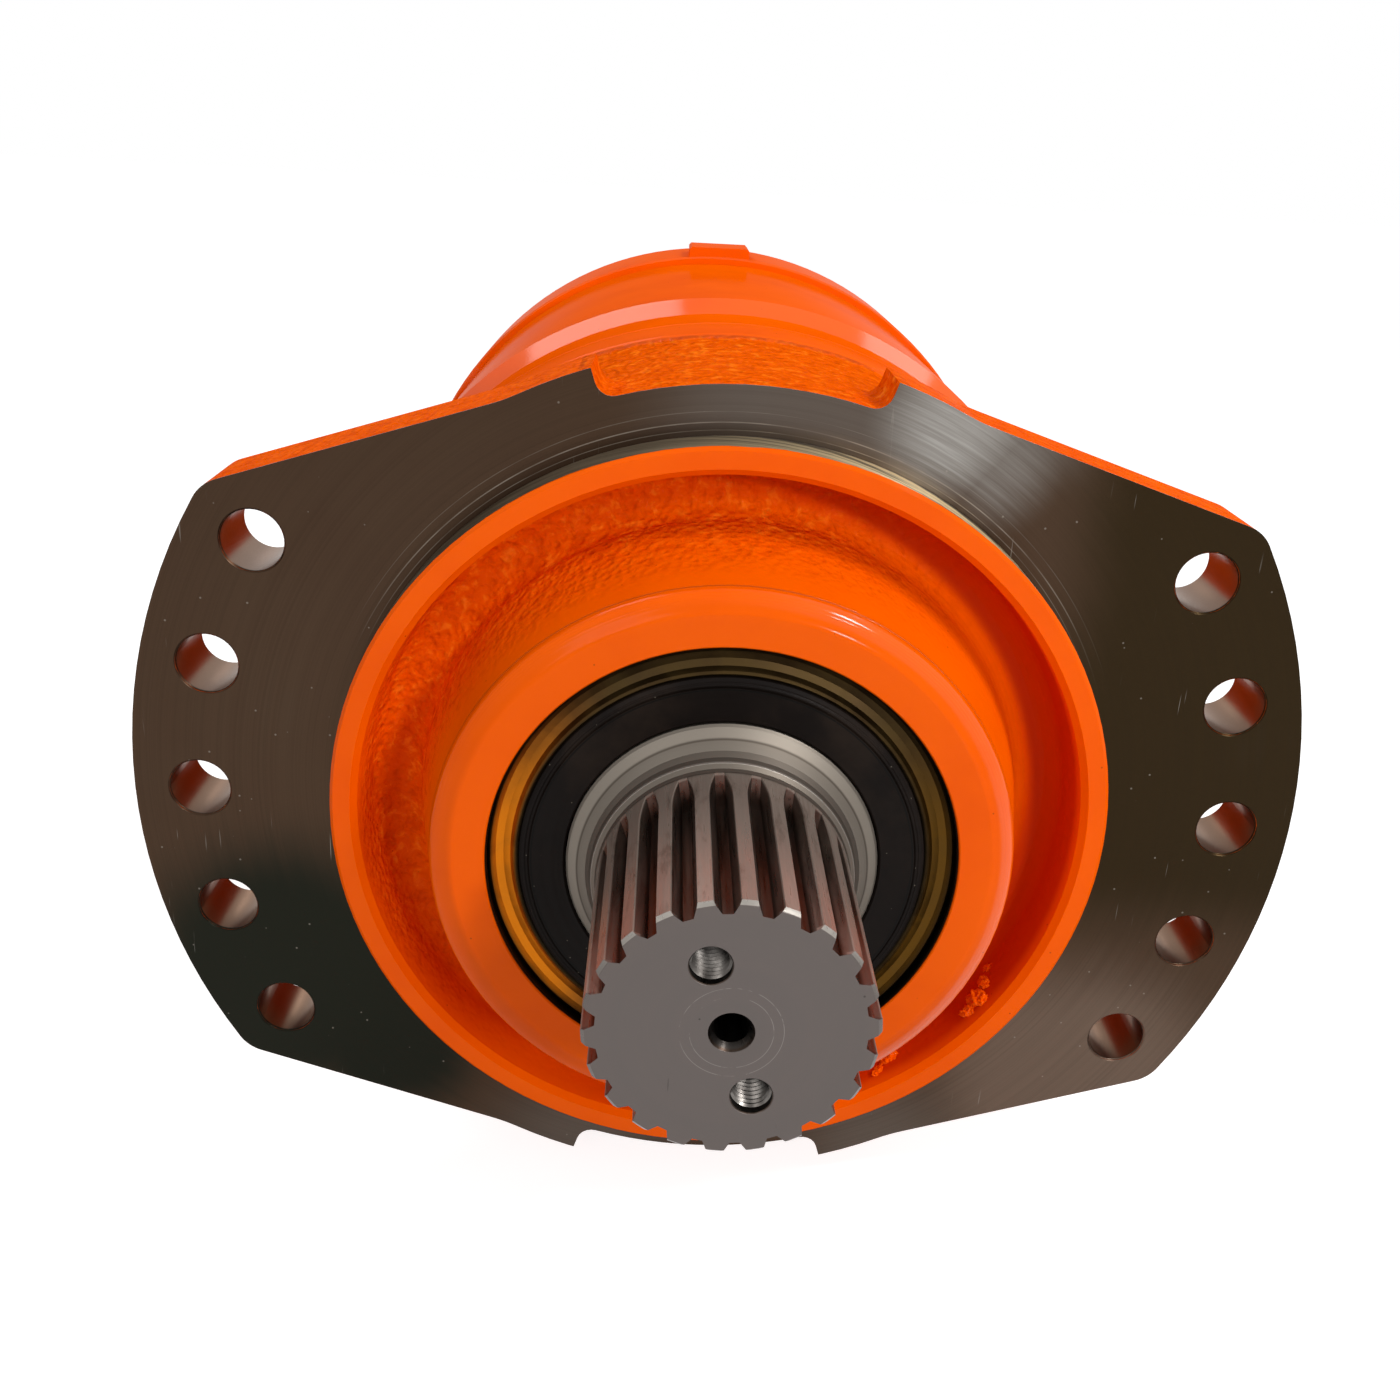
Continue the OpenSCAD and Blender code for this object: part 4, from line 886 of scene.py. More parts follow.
    def tool_marks(self, sheet: Sheet) -> tuple[Socket, Socket, Socket]:
        """Mark what tools left on the face.

        Args:
            sheet: The sheet that is worked on.

        Returns:
            The masks of the scratches, the nicks and the scribed grooves.
        """
        lines = sheet.noise(1.3, 2, 0.5, sheet.stretch((1.0, 1.0, 0.035), (0, 62, 0)), 0.2)
        scratches = sheet.times(
            sheet.step(lines, 0.69, 0.73), sheet.step(sheet.noise(30, 2), 0.5, 0.62), 0.4
        )
        nicks = sheet.times(sheet.specks(6.5, 0.035, 0.06), 0.35)
        rings = sheet.either(
            *(
                sheet.times(sheet.band(sheet.radius, inner, outer, 0.1), share)
                for inner, outer, share in self.grooves
            )
        )
        broken = sheet.step(sheet.noise(26, 3, 0.6), 0.38, 0.6, 0.15, 0.55)
        return scratches, nicks, sheet.times(rings, broken, sheet.step(sheet.z, 40.0, 104.0))

    def steel(self, sheet: Sheet, hole: Socket) -> tuple[Socket, Socket, Socket]:
        """Lay the bare steel on a sheet.

        Args:
            sheet: The sheet that is worked on.
            hole: Distance from the nearest mounting hole.

        Returns:
            Colour, roughness and height of the bare steel.
        """
        rings = sheet.noise(0.5, 3, 0.65, sheet.rounds(1.0, 0.3, 1.0))
        wall = self.pilot_wall(sheet)
        mottle = sheet.noise(5.0, 5, 0.7, sheet.rounds(0.4, 20.0, 1.0), 0.4)
        # the pilot ring's outer wall: mottled bare steel, made lighter towards the right as a
        # painted sheen
        ring_steel = sheet.tint(
            self.pilot_left,
            (sheet.step(sheet.x, -30.0, 62.0), self.pilot_right_sheen),
            (sheet.step(mottle, 0.42, 0.58), self.pilot_dirt),
        )
        scratches, nicks, grooves = self.tool_marks(sheet)
        in_hole = sheet.times(
            sheet.fall(hole, self.hole_r + 0.1, self.hole_r + 0.4), sheet.step(sheet.y, 0.6, 1.2)
        )
        colour = sheet.tint(
            self.tone(sheet),
            (sheet.step(rings, 0.35, 0.75, 0.0, 0.16), self.ring_dark),
            (scratches, self.scratch),
            (nicks, self.nick),
            (grooves, self.ring_line),
            (sheet.fall(sheet.radius, self.bore_r + 1.2, self.bore_r + 1.6), self.bore_shade),
            (wall, ring_steel),
            (in_hole, self.hole_steel),
        )
        chatter = sheet.times(
            sheet.noise(1.4, 2, 0.5, sheet.stretch((1.0, 1.0, 0.18), (0, -10, 0))),
            sheet.fall(sheet.z, -112.0, -86.0),
        )
        height = sheet.plus(sheet.times(rings, 0.0014), sheet.times(chatter, 0.02))
        height = sheet.plus(height, sheet.times(mottle, wall, 0.12))
        return colour, sheet.step(rings, 0.3, 0.7, 0.28, 0.36), height

    def gloss_share(self, sheet: Sheet, mask: Socket) -> Socket:
        """Return the factor on the enamel's gloss.

        It is 0 on bare steel, high on the right of the hub's edge, where the paint ran thick, and
        low in the trough, which the hub and the pilot ring shade.

        Args:
            sheet: The sheet that is worked on.
            mask: 1 where the steel is bare.

        Returns:
            The factor.
        """
        edge = sheet.times(
            sheet.band(sheet.radius, self.hub_edge_r - 4.0, self.hub_edge_r + 0.4, 0.8),
            sheet.fall(sheet.y, self.hub_front_y + 1.0, self.hub_front_y + 3.0),
            sheet.step(sheet.x, -15.0, 45.0, 0.15, 1.0),
        )
        trough = sheet.times(
            sheet.band(sheet.radius, 84.5, 106.0, 1.5), sheet.step(sheet.y, -24.0, -8.0)
        )
        return sheet.times(
            sheet.no(mask),
            sheet.step(edge, 0.0, 1.0, 1.0, self.edge_gloss),
            sheet.step(trough, 0.0, 1.0, 1.0, self.trough_gloss),
        )

    def make(self) -> bpy.types.Material:
        """Make the finish of the whole casting.

        Returns:
            The material.
        """
        sheet = Sheet(self.name)
        hole = self.hole_distance(sheet)
        mask = self.bare(sheet, hole)
        paint, gloss, paint_height = self.paint.coat(sheet, self.grain(sheet))
        # painted shade: deep red in the trough under the pilot ring's inner wall, most on the
        # right
        shaded = sheet.times(
            sheet.band(sheet.radius, 96.0, 109.5, 3.0),
            sheet.step(sheet.y, -12.5, -7.0),
            sheet.step(sheet.x, -70.0, 70.0, 0.12, 0.85),
        )
        paint = sheet.blend(shaded, paint, self.trough_shade)
        rounding = sheet.times(
            sheet.step(
                sheet.radius,
                self.hub_edge_r - 7.0,
                self.hub_edge_r - 1.0,
                0.0,
                self.hub_rounding_mm,
            ),
            sheet.fall(sheet.y, self.hub_front_y, self.hub_front_y + 1.0),
        )
        paint_height = sheet.plus(sheet.minus(paint_height, rounding), self.paint_film_mm)
        steel, sheen, steel_height = self.steel(sheet, hole)
        relief = sheet.relief(sheet.between(mask, paint_height, steel_height))
        self.paint.glaze(sheet, relief, self.gloss_share(sheet, mask))
        pilot = sheet.step(self.pilot_wall(sheet), 0.0, 1.0, 1.0, self.pilot_metallic)
        return sheet.finish(
            sheet.blend(mask, paint, steel),
            sheet.between(mask, gloss, sheen),
            sheet.times(mask, pilot),
            relief,
            self.paint.shine,
        )


@dataclass(frozen=True)
class MouldedRubber:
    """Black seal rubber with faint rings."""

    name: str = "moulded_rubber"
    colour: Colour = linear(14, 9, 7)
    film: Colour = linear(38, 29, 23)
    dust: Colour = linear(120, 112, 100)
    crease_shade: Colour = linear(6, 5, 4)
    roughness: float = 0.46
    shine: float = 0.07
    ring_size_mm: float = 0.9
    ring_mm: float = 0.008
    lip_mm: float = 0.5

    def make(self) -> bpy.types.Material:
        """Make the rubber.

        Returns:
            The material.
        """
        sheet = Sheet(self.name)
        rings = sheet.noise(self.ring_size_mm, 3, 0.6, sheet.rounds(1.0, 0.4, 1.0))
        # a patchy dull film, made stronger towards the top, where it also stands for painted
        # light from above
        film = sheet.times(
            sheet.step(sheet.noise(20, 4, 0.6), 0.4, 0.75),
            sheet.step(sheet.z, -20.0, 50.0, 0.1, 0.7),
        )
        colour = sheet.tint(
            self.colour,
            (film, self.film),
            (sheet.times(sheet.specks(5.0, 0.035, 0.05), 0.5), self.dust),
            # painted shade: a dark ring in the crease inside the lip
            (sheet.band(sheet.radius, 53.7, 54.1, 0.15), self.crease_shade),
        )
        roughness = sheet.step(rings, 0.3, 0.7, self.roughness - 0.08, self.roughness + 0.1)
        lip = sheet.times(sheet.band(sheet.radius, 54.6, 55.6, 0.35), self.lip_mm)
        relief = sheet.relief(sheet.plus(sheet.times(rings, self.ring_mm), lip))
        return sheet.finish(colour, roughness, 0.0, relief, self.shine)


@dataclass(frozen=True)
class YellowZinc:
    """Yellow passivated zinc with an oily olive film."""

    name: str = "yellow_zinc"
    olive: Colour = linear(50, 36, 16)
    light_olive: Colour = linear(70, 54, 24)
    reflected_orange: Colour = linear(196, 110, 8)
    dim_reflected_orange: Colour = linear(84, 56, 8)
    edge: Colour = linear(26, 19, 8)
    roughness: float = 0.4
    metallic: float = 0.9
    film_size_mm: float = 14.0
    film_mm: float = 0.01
    inner_r: float = 58.0
    outer_r: float = 66.0

    def make(self) -> bpy.types.Material:
        """Make the zinc plate.

        Returns:
            The material.
        """
        sheet = Sheet(self.name)
        film = sheet.noise(self.film_size_mm, 4, 0.6, twist=0.8)
        # painted reflection: yellow-orange arcs across the ring's middle, strong at the left and
        # dim at the right
        reflection_arc = sheet.times(
            sheet.band(sheet.radius, self.inner_r + 0.9, self.outer_r - 0.8, 0.9),
            sheet.step(film, 0.3, 0.65, 0.72, 1.0),
        )
        left = sheet.times(
            sheet.fall(sheet.x, -52.0, -30.0), sheet.step(sheet.z, 6.0, 52.0, 1.0, 0.12)
        )
        right = sheet.times(sheet.step(sheet.x, 26.0, 50.0), sheet.fall(sheet.z, 12.0, 46.0))
        rim = sheet.either(
            sheet.step(sheet.radius, self.outer_r - 0.3, self.outer_r),
            sheet.fall(sheet.radius, self.inner_r - 0.3, self.inner_r + 0.1),
        )
        colour = sheet.tint(
            self.olive,
            (sheet.step(film, 0.35, 0.7, 0.0, 0.5), self.light_olive),
            (sheet.times(right, reflection_arc), self.dim_reflected_orange),
            (sheet.times(left, reflection_arc), self.reflected_orange),
            (sheet.times(rim, 0.8), self.edge),
        )
        roughness = sheet.step(film, 0.3, 0.7, self.roughness - 0.04, self.roughness + 0.1)
        relief = sheet.relief(sheet.times(film, self.film_mm))
        return sheet.finish(colour, roughness, self.metallic, relief)


@dataclass(frozen=True)
class SplineSteel:
    """The shaft: faced end, hobbed grooves, turned shoulder and ground seal track."""

    name: str = "spline_steel"
    end_y: float = -112.0
    shoulder_y: float = -48.0
    tip_r: float = 35.0
    root_r: float = 31.7
    chamfer_r: float = 33.0
    track_r: float = 41.0
    hole_offset: float = 18.75
    hole_angle: float = 107.8
    hole_r: float = 5.0
    shine: float = 0.3
    crest_metallic: float = 0.5
    flat_roughness: float = 0.5
    face: Colour = linear(94, 87, 84)
    face_ring: Colour = linear(88, 84, 82)
    face_patch: Colour = linear(72, 68, 66)
    face_mark: Colour = linear(44, 40, 38)
    face_circle: Colour = linear(140, 134, 130)
    face_nick: Colour = linear(54, 50, 48)
    shaded_root: Colour = linear(58, 48, 41)
    flank: Colour = linear(112, 100, 92)
    crest: Colour = linear(148, 135, 125)
    streak: Colour = linear(96, 82, 74)
    stain: Colour = linear(74, 56, 46)
    track: Colour = linear(104, 97, 89)
    track_ring: Colour = linear(100, 92, 83)
    track_rim: Colour = linear(134, 126, 116)
    track_crease_shade: Colour = linear(58, 50, 43)
    track_highlight: Colour = linear(176, 170, 162)
    chamfer_low: Colour = linear(92, 85, 81)
    chamfer_lit: Colour = linear(150, 144, 137)
    oily: Colour = linear(66, 62, 59)

    def hole_wall(self, sheet: Sheet) -> Socket:
        """Mark what lies inside the three holes of the shaft's end.

        Args:
            sheet: The sheet that is worked on.

        Returns:
            1 where it counts and 0 elsewhere.
        """
        turn = math.radians(self.hole_angle)
        cosine, sine = math.cos(turn), math.sin(turn)
        on_line = sheet.plus(sheet.times(sheet.x, cosine), sheet.times(sheet.z, sine))
        across = sheet.minus(sheet.times(sheet.z, cosine), sheet.times(sheet.x, sine))
        off = sheet.minus(sheet.math(Op.SIZE, on_line), self.hole_offset)
        holes = sheet.either(
            sheet.fall(sheet.length(off, across), self.hole_r + 0.1, self.hole_r + 0.25),
            sheet.fall(sheet.radius, self.hole_r - 0.1, self.hole_r + 0.25),
        )
        return sheet.times(holes, sheet.step(sheet.y, self.end_y + 0.25, self.end_y + 0.6))

    def teeth(self, sheet: Sheet, streak: Socket) -> Socket:
        """Return the colour of the spline's roots, flanks and crests, with painted shade darkest
        in the roots.

        Args:
            sheet: The sheet that is worked on.
            streak: Noise of the streaks along the teeth.

        Returns:
            The colour.
        """
        stain = sheet.noise(4.5, 4, 0.7, sheet.stretch((1.0, 0.3, 1.0)), 0.4)
        return sheet.tint(
            # painted shade: darkest in the roots between the teeth, lighter up the flanks
            self.shaded_root,
            (sheet.step(sheet.radius, self.root_r + 0.3, self.root_r + 1.3), self.flank),
            (sheet.step(sheet.radius, self.tip_r - 0.5, self.tip_r - 0.2), self.crest),
            (sheet.step(streak, 0.35, 0.7, 0.0, 0.22), self.streak),
            (sheet.step(stain, 0.5, 0.72, 0.0, 0.5), self.stain),
        )

    def seal_track(self, sheet: Sheet, bands: Socket) -> Socket:
        """Return the colour of the shoulder and the seal track, with a painted shade ring and a
        painted highlight ring.

        Args:
            sheet: The sheet that is worked on.
            bands: Noise of the wide rings.

        Returns:
            The colour.
        """
        ring_line = sheet.band(sheet.radius, self.track_r - 0.5, self.track_r - 0.1, 0.12)
        line = sheet.band(sheet.radius, self.tip_r + 1.4, self.tip_r + 1.65, 0.08)
        outer = sheet.step(sheet.radius, self.track_r - 0.1, self.track_r + 0.3)
        return sheet.tint(
            self.track,
            (sheet.step(bands, 0.35, 0.7, 0.0, 0.3), self.track_ring),
            (sheet.times(outer, 0.7), self.track_rim),
            # painted shade: a dark ring on the chamfer cone next to the fillet
            (sheet.times(ring_line, 0.6), self.track_crease_shade),
            # painted highlight: a bright ring at the start of the fillet
            (sheet.times(line, 0.6), self.track_highlight),
        )

    def end_face(self, sheet: Sheet, bands: Socket) -> Socket:
        """Return the colour of the faced end, with its rings, marks and nicks.

        Args:
            sheet: The sheet that is worked on.
            bands: Noise of the wide rings.

        Returns:
            The colour.
        """
        patch = sheet.noise(9, 5, 0.65, twist=0.5)
        circles = sheet.either(
            sheet.band(sheet.radius, 9.7, 9.85, 0.07), sheet.band(sheet.radius, 12.1, 12.25, 0.07)
        )
        lines = sheet.noise(1.0, 2, 0.5, sheet.stretch((1.0, 1.0, 0.06), (0, -38, 0)), 0.3)
        nicks = sheet.times(
            sheet.step(lines, 0.7, 0.74), sheet.step(sheet.noise(9, 2), 0.55, 0.6), 0.6
        )
        return sheet.tint(
            self.face,
            (sheet.step(bands, 0.35, 0.7, 0.0, 0.2), self.face_ring),
            (sheet.step(patch, 0.66, 0.84, 0.0, 0.25), self.face_patch),
            (sheet.times(sheet.specks(8.0, 0.03, 0.05), 0.6), self.face_mark),
            (sheet.times(circles, sheet.step(patch, 0.42, 0.5), 0.5), self.face_circle),
            (nicks, self.face_nick),
        )

    def make(self) -> bpy.types.Material:
        """Make the shaft's finish.

        Returns:
            The material.
        """
        sheet = Sheet(self.name)
        end = sheet.fall(sheet.y, self.end_y + 0.05, self.end_y + 0.2)
        shoulder = sheet.step(sheet.y, self.shoulder_y, self.shoulder_y + 2.0)
        chamfer = sheet.times(
            sheet.band(sheet.y, self.end_y + 0.12, self.end_y + 1.05, 0.06),
            sheet.step(sheet.radius, self.chamfer_r, self.chamfer_r + 0.4),
        )
        lit_chamfer = sheet.blend(
            sheet.step(sheet.z, 8.0, 30.0), self.chamfer_low, self.chamfer_lit
        )
        rings = sheet.noise(0.55, 3, 0.65, sheet.rounds(1.0, 0.3, 1.0))
        bands = sheet.noise(4.0, 3, 0.6, sheet.rounds(1.0, 0.8, 0.8))
        streak = sheet.noise(1.2, 3, 0.6, sheet.stretch((1.0, 0.05, 1.0)))
        colour = sheet.tint(
            self.teeth(sheet, streak),
            (shoulder, self.seal_track(sheet, bands)),
            (end, self.end_face(sheet, bands)),
            (chamfer, lit_chamfer),
            # darker inside the three holes
            (self.hole_wall(sheet), self.oily),
        )
        flat = sheet.either(end, shoulder)
        streaky = sheet.step(streak, 0.3, 0.7, 0.26, 0.38)
        side_height = sheet.plus(sheet.times(streak, 0.01), sheet.times(rings, 0.003))
        end_height = sheet.plus(sheet.times(rings, 0.005), sheet.times(bands, 0.002))
        crests = sheet.times(
            sheet.step(sheet.radius, self.tip_r - 0.6, self.tip_r - 0.2),
            sheet.no(shoulder),
            sheet.no(end),
        )
        return sheet.finish(
            colour,
            sheet.between(flat, streaky, self.flat_roughness),
            sheet.step(crests, 0.0, 1.0, 1.0, self.crest_metallic),
            sheet.relief(sheet.between(flat, side_height, end_height)),
            self.shine,
        )


@dataclass(frozen=True)
class Palette:
    """Every finish of the motor, made once."""

    enamel: bpy.types.Material = field(default_factory=Enamel(coat_weight=0.42).make)
    cast_enamel: bpy.types.Material = field(
        default_factory=Enamel("cast_orange_enamel", cast_mm=0.3).make
    )
    casting: bpy.types.Material = field(default_factory=FlangeCasting().make)
    shaft: bpy.types.Material = field(default_factory=SplineSteel().make)
    rubber: bpy.types.Material = field(default_factory=MouldedRubber().make)
    zinc: bpy.types.Material = field(default_factory=YellowZinc().make)
    turned: bpy.types.Material = field(default_factory=TurnedSteel().make)
    ground: bpy.types.Material = field(
        default_factory=TurnedSteel(
            name="ground_steel",
            colour=linear(188, 188, 188),
            dark=linear(160, 160, 162),
            roughness=0.18,
            ring_mm=0.3,
            ring_height_mm=0.002,
            stain=0.2,
        ).make
    )
    spring: bpy.types.Material = field(
        default_factory=PlainMetal(
            "spring_steel", linear(120, 118, 114), linear(84, 82, 80), 0.32
        ).make
    )
    thread: bpy.types.Material = field(
        default_factory=PlainMetal(
            "oily_thread", linear(120, 116, 112), linear(60, 56, 53), 0.3, grain_mm=2.0
        ).make
    )
    iron: bpy.types.Material = field(
        default_factory=PlainMetal(
            "machined_iron", linear(118, 116, 114), linear(86, 84, 82), 0.38, grain_height_mm=0.01
        ).make
    )
    black_oxide: bpy.types.Material = field(
        default_factory=PlainMetal(
            "black_oxide", linear(44, 43, 44), linear(26, 25, 26), 0.38, metallic=0.9
        ).make
    )
    copper: bpy.types.Material = field(
        default_factory=PlainMetal(
            "copper_washer", linear(196, 122, 84), linear(140, 84, 56), 0.3
        ).make
    )
    lining: bpy.types.Material = field(
        default_factory=PlainMetal(
            name="sintered_lining",
            colour=linear(130, 108, 76),
            dark=linear(96, 78, 54),
            roughness=0.6,
            metallic=0.6,
            grain_mm=1.2,
            grain_height_mm=0.05,
        ).make
    )


class Bench:
    """Steps at the modelling bench that all pieces share."""

    @staticmethod
    def clear() -> None:
        """Leave edit mode and select nothing."""
        if bpy.context.object is not None and bpy.context.object.mode != "OBJECT":
            bpy.ops.object.mode_set(mode="OBJECT")
        bpy.ops.object.select_all(action="DESELECT")

    @staticmethod
    def take(piece: bpy.types.Object) -> None:
        """Make one piece the only selected and active one.

        Args:
            piece: The piece.
        """
        Bench.clear()
        piece.select_set(True)
        bpy.context.view_layer.objects.active = piece

    @staticmethod
    def named(name: str) -> bpy.types.Object:
        """Name the piece that was just added, and its mesh.

        Args:
            name: The name.

        Returns:
            The piece.
        """
        piece = bpy.context.object
        piece.name = name
        piece.data.name = name
        return piece

    @staticmethod
    def mark_faces(piece: bpy.types.Object, test: Callable[[Vector, Vector], bool]) -> None:
        """Select the faces that pass a test and go to edit mode.

        Args:
            piece: The piece that is worked on.
            test: Takes a face's centre and normal and says whether it is meant.
        """
        Bench.take(piece)
        bpy.ops.object.mode_set(mode="EDIT")
        bpy.ops.mesh.select_mode(type="FACE")
        bpy.ops.mesh.select_all(action="DESELECT")
        bpy.ops.object.mode_set(mode="OBJECT")
        for face in piece.data.polygons:
            face.select = test(face.center, face.normal)
        bpy.ops.object.mode_set(mode="EDIT")

    @staticmethod
    def apply_modifiers(piece: bpy.types.Object) -> None:
        """Apply every modifier of a piece in its order.

        Args:
            piece: The piece.
        """
        Bench.take(piece)
        for modifier in list(piece.modifiers):
            bpy.ops.object.modifier_apply(modifier=modifier.name)

    @staticmethod
    def settle(piece: bpy.types.Object, placed: Matrix, angle: float = 35.0) -> None:
        """Move a piece's place into its mesh, mend its normals and smooth it.

        Args:
            piece: The piece, made at the origin.
            placed: Where it goes.
            angle: Edges sharper than this many degrees stay sharp.
        """
        Bench.take(piece)
        piece.data.transform(placed @ piece.matrix_world)
        piece.matrix_world = Matrix.Identity(4)
        bpy.ops.object.mode_set(mode="EDIT")
        bpy.ops.mesh.select_all(action="SELECT")
        bpy.ops.mesh.remove_doubles(threshold=1e-6)
        bpy.ops.mesh.normals_make_consistent(inside=False)
        bpy.ops.object.mode_set(mode="OBJECT")
        bpy.ops.object.shade_smooth_by_angle(angle=math.radians(angle))
        Bench.clear()

    @staticmethod
    def dress(piece: bpy.types.Object, material: bpy.types.Material) -> None:
        """Give a piece one material."""
        piece.data.materials.clear()
        piece.data.materials.append(material)

    @staticmethod
    def seat(piece: bpy.types.Object, body: str, slot: str, *nodes: str) -> None:
        """Let a piece ride on a body and hide the nodes that it stands for.

        Args:
            piece: The finished piece.
            body: Body that carries it.
            slot: Name of the record's material slot; not used.
            *nodes: Nodes that it replaces.
        """
        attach(piece, body)
        if nodes:
            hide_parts(*nodes)
        LOG.info("%s rides on %s", piece.name, body)


def along(axis_from: Vector, axis_to: Vector, roll: float = 0.0) -> Matrix:
    """Return the matrix that stands local Z on a line.

    Args:
        axis_from: Where local zero goes.
        axis_to: Point that local +Z points to.
        roll: Turn about the line in degrees.

    Returns:
        The placing matrix.
    """
    turn = (axis_to - axis_from).to_track_quat("Z", "Y").to_matrix().to_4x4()
    return Matrix.Translation(axis_from) @ turn @ Matrix.Rotation(math.radians(roll), 4, "Z")


def polar(radius_mm: float, angle: float, y_mm: float) -> Vector:
    """Return the point at a radius and an angle from +X towards +Z."""
    turn = math.radians(angle)
    return Vector((radius_mm * math.cos(turn), y_mm, radius_mm * math.sin(turn))) * MM


@dataclass
class TappedThread:
    """A cut thread inside a hole, as one helical ridge."""

    name: str
    mouth: Vector
    inward: Vector
    wall_r_mm: float
    pitch_mm: float
    turns: int
    start_mm: float = 1.6
    depth_mm: float = 0.62
    in_wall_mm: float = 0.02
    flatness: float = 0.72
    segments: int = 40

    def build(self, material: bpy.types.Material, body: str, slot: str) -> None:
        """Model the ridge and seat it in its hole.

        Args:
            material: Finish of the thread.
            body: Body that carries it.
            slot: Material slot of the record.
        """
        Bench.clear()
        bpy.ops.mesh.primitive_circle_add(
            vertices=4, radius=self.depth_mm * MM, fill_type="NOTHING", location=(0, 0, 0)
        )
        piece = Bench.named(self.name)
        bpy.ops.object.mode_set(mode="EDIT")
        bpy.ops.mesh.select_all(action="SELECT")
        bpy.ops.transform.rotate(
            value=math.radians(90), orient_axis="X", center_override=(0, 0, 0)
        )
        bpy.ops.transform.resize(value=(1.0, 1.0, self.flatness), center_override=(0, 0, 0))
        reach_mm = self.wall_r_mm - self.in_wall_mm
        bpy.ops.transform.translate(value=(reach_mm * MM, 0, self.start_mm * MM))
        bpy.ops.object.mode_set(mode="OBJECT")
        screw = piece.modifiers.new("helix", "SCREW")
        screw.axis = "Z"
        screw.screw_offset = self.pitch_mm * MM
        screw.iterations = self.turns
        screw.steps = self.segments
        screw.render_steps = self.segments
        Bench.apply_modifiers(piece)
        Bench.take(piece)
        bpy.ops.object.mode_set(mode="EDIT")
        bpy.ops.mesh.select_mode(type="EDGE")
        bpy.ops.mesh.select_all(action="DESELECT")
        bpy.ops.mesh.select_non_manifold()
        bpy.ops.mesh.edge_face_add()
        bpy.ops.object.mode_set(mode="OBJECT")
        Bench.settle(piece, along(self.mouth, self.mouth + self.inward), 25)
        Bench.dress(piece, material)
        Bench.seat(piece, body, slot)


@dataclass
class SocketScrew:
    """Socket head screw with a knurled, chamfered head."""

    name: str
    seat: Vector
    axis: Vector
    shank_r_mm: float = 4.0
    head_r_mm: float = 6.5
    head_h_mm: float = 8.0
    shank_len_mm: float = 63.0
    socket_r_mm: float = 3.75
    socket_depth_mm: float = 4.2
    knurls: int = 36
    knurl_mm: float = 0.12
    head_chamfer_mm: float = 0.7
    tip_chamfer_mm: float = 0.8

    def is_knurl(self, centre: Vector, normal: Vector) -> bool:
        """Say whether a face is every second one round the head."""
        turn = math.pi / self.knurls
        return abs(normal.z) < 0.5 and round(math.atan2(centre.y, centre.x) / turn - 0.5) % 2 == 0

    def is_top(self, centre: Vector, normal: Vector) -> bool:
        """Say whether a face is the head's top."""
        return normal.z > 0.9 and centre.z > 0.9 * self.head_h_mm * MM

    def is_underside(self, centre: Vector, normal: Vector) -> bool:
        """Say whether a face is the head's underside."""
        return normal.z < -0.9 and centre.xy.length < 0.5 * self.head_r_mm * MM

    def build(self, material: bpy.types.Material, body: str, slot: str) -> bpy.types.Object:
        """Model the screw and seat it.

        Args:
            material: Finish of the screw.
            body: Body that carries it.
            slot: Material slot of the record.

        Returns:
            The screw.
        """
        Bench.clear()
        root_r_mm = self.head_r_mm - self.knurl_mm
        bpy.ops.mesh.primitive_cylinder_add(
            vertices=2 * self.knurls,
            radius=root_r_mm * MM,
            depth=self.head_h_mm * MM,
            location=(0, 0, self.head_h_mm * MM / 2),
        )
        piece = Bench.named(self.name)
        bpy.ops.object.transform_apply(location=True, rotation=False, scale=False)
        Bench.mark_faces(piece, self.is_knurl)
        bpy.ops.mesh.extrude_region_shrink_fatten(
            TRANSFORM_OT_shrink_fatten={"value": -self.knurl_mm * MM}
        )
        Bench.mark_faces(piece, self.is_top)
        bpy.ops.mesh.region_to_loop()
        bpy.ops.mesh.bevel(offset=self.head_chamfer_mm * MM, segments=2, affect="EDGES")
        Bench.mark_faces(piece, self.is_underside)
        bpy.ops.mesh.inset(thickness=(root_r_mm - self.shank_r_mm) * MM)
        bpy.ops.mesh.extrude_region_move(
            TRANSFORM_OT_translate={"value": (0, 0, -self.shank_len_mm * MM)}
        )
        bpy.ops.mesh.bevel(offset=self.tip_chamfer_mm * MM, segments=1, affect="EDGES")
        bpy.ops.object.mode_set(mode="OBJECT")
        Bench.clear()
        bpy.ops.mesh.primitive_cylinder_add(
            vertices=6,
            radius=self.socket_r_mm * MM,
            depth=2 * self.socket_depth_mm * MM,
            location=(0, 0, self.head_h_mm * MM),
        )
        cutter = Bench.named(self.name + "_cutter")
        Bench.take(piece)
        cut = piece.modifiers.new("socket", "BOOLEAN")
        cut.operation = "DIFFERENCE"
        cut.object = cutter
        bpy.ops.object.modifier_apply(modifier=cut.name)
        bpy.data.objects.remove(cutter)
        Bench.settle(piece, along(self.seat, self.seat + self.axis), 30)
        Bench.dress(piece, material)
        Bench.seat(piece, body, slot)
        return piece


@dataclass
class Casings:
    """The four casings of the housing."""

    painted: tuple[str, ...] = ("cam_ring", "rear_cover", "brake_cover")
    front: str = "bearing_support"

    def dress(self, nodes: Pieces, palette: Palette) -> None:
        """Paint the casings.

        Args:
            nodes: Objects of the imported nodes.
            palette: The finishes.
        """
        Bench.dress(nodes[self.front], palette.casting)
        for name in self.painted:
            Bench.dress(nodes[name], palette.enamel)
        LOG.info("casings painted")


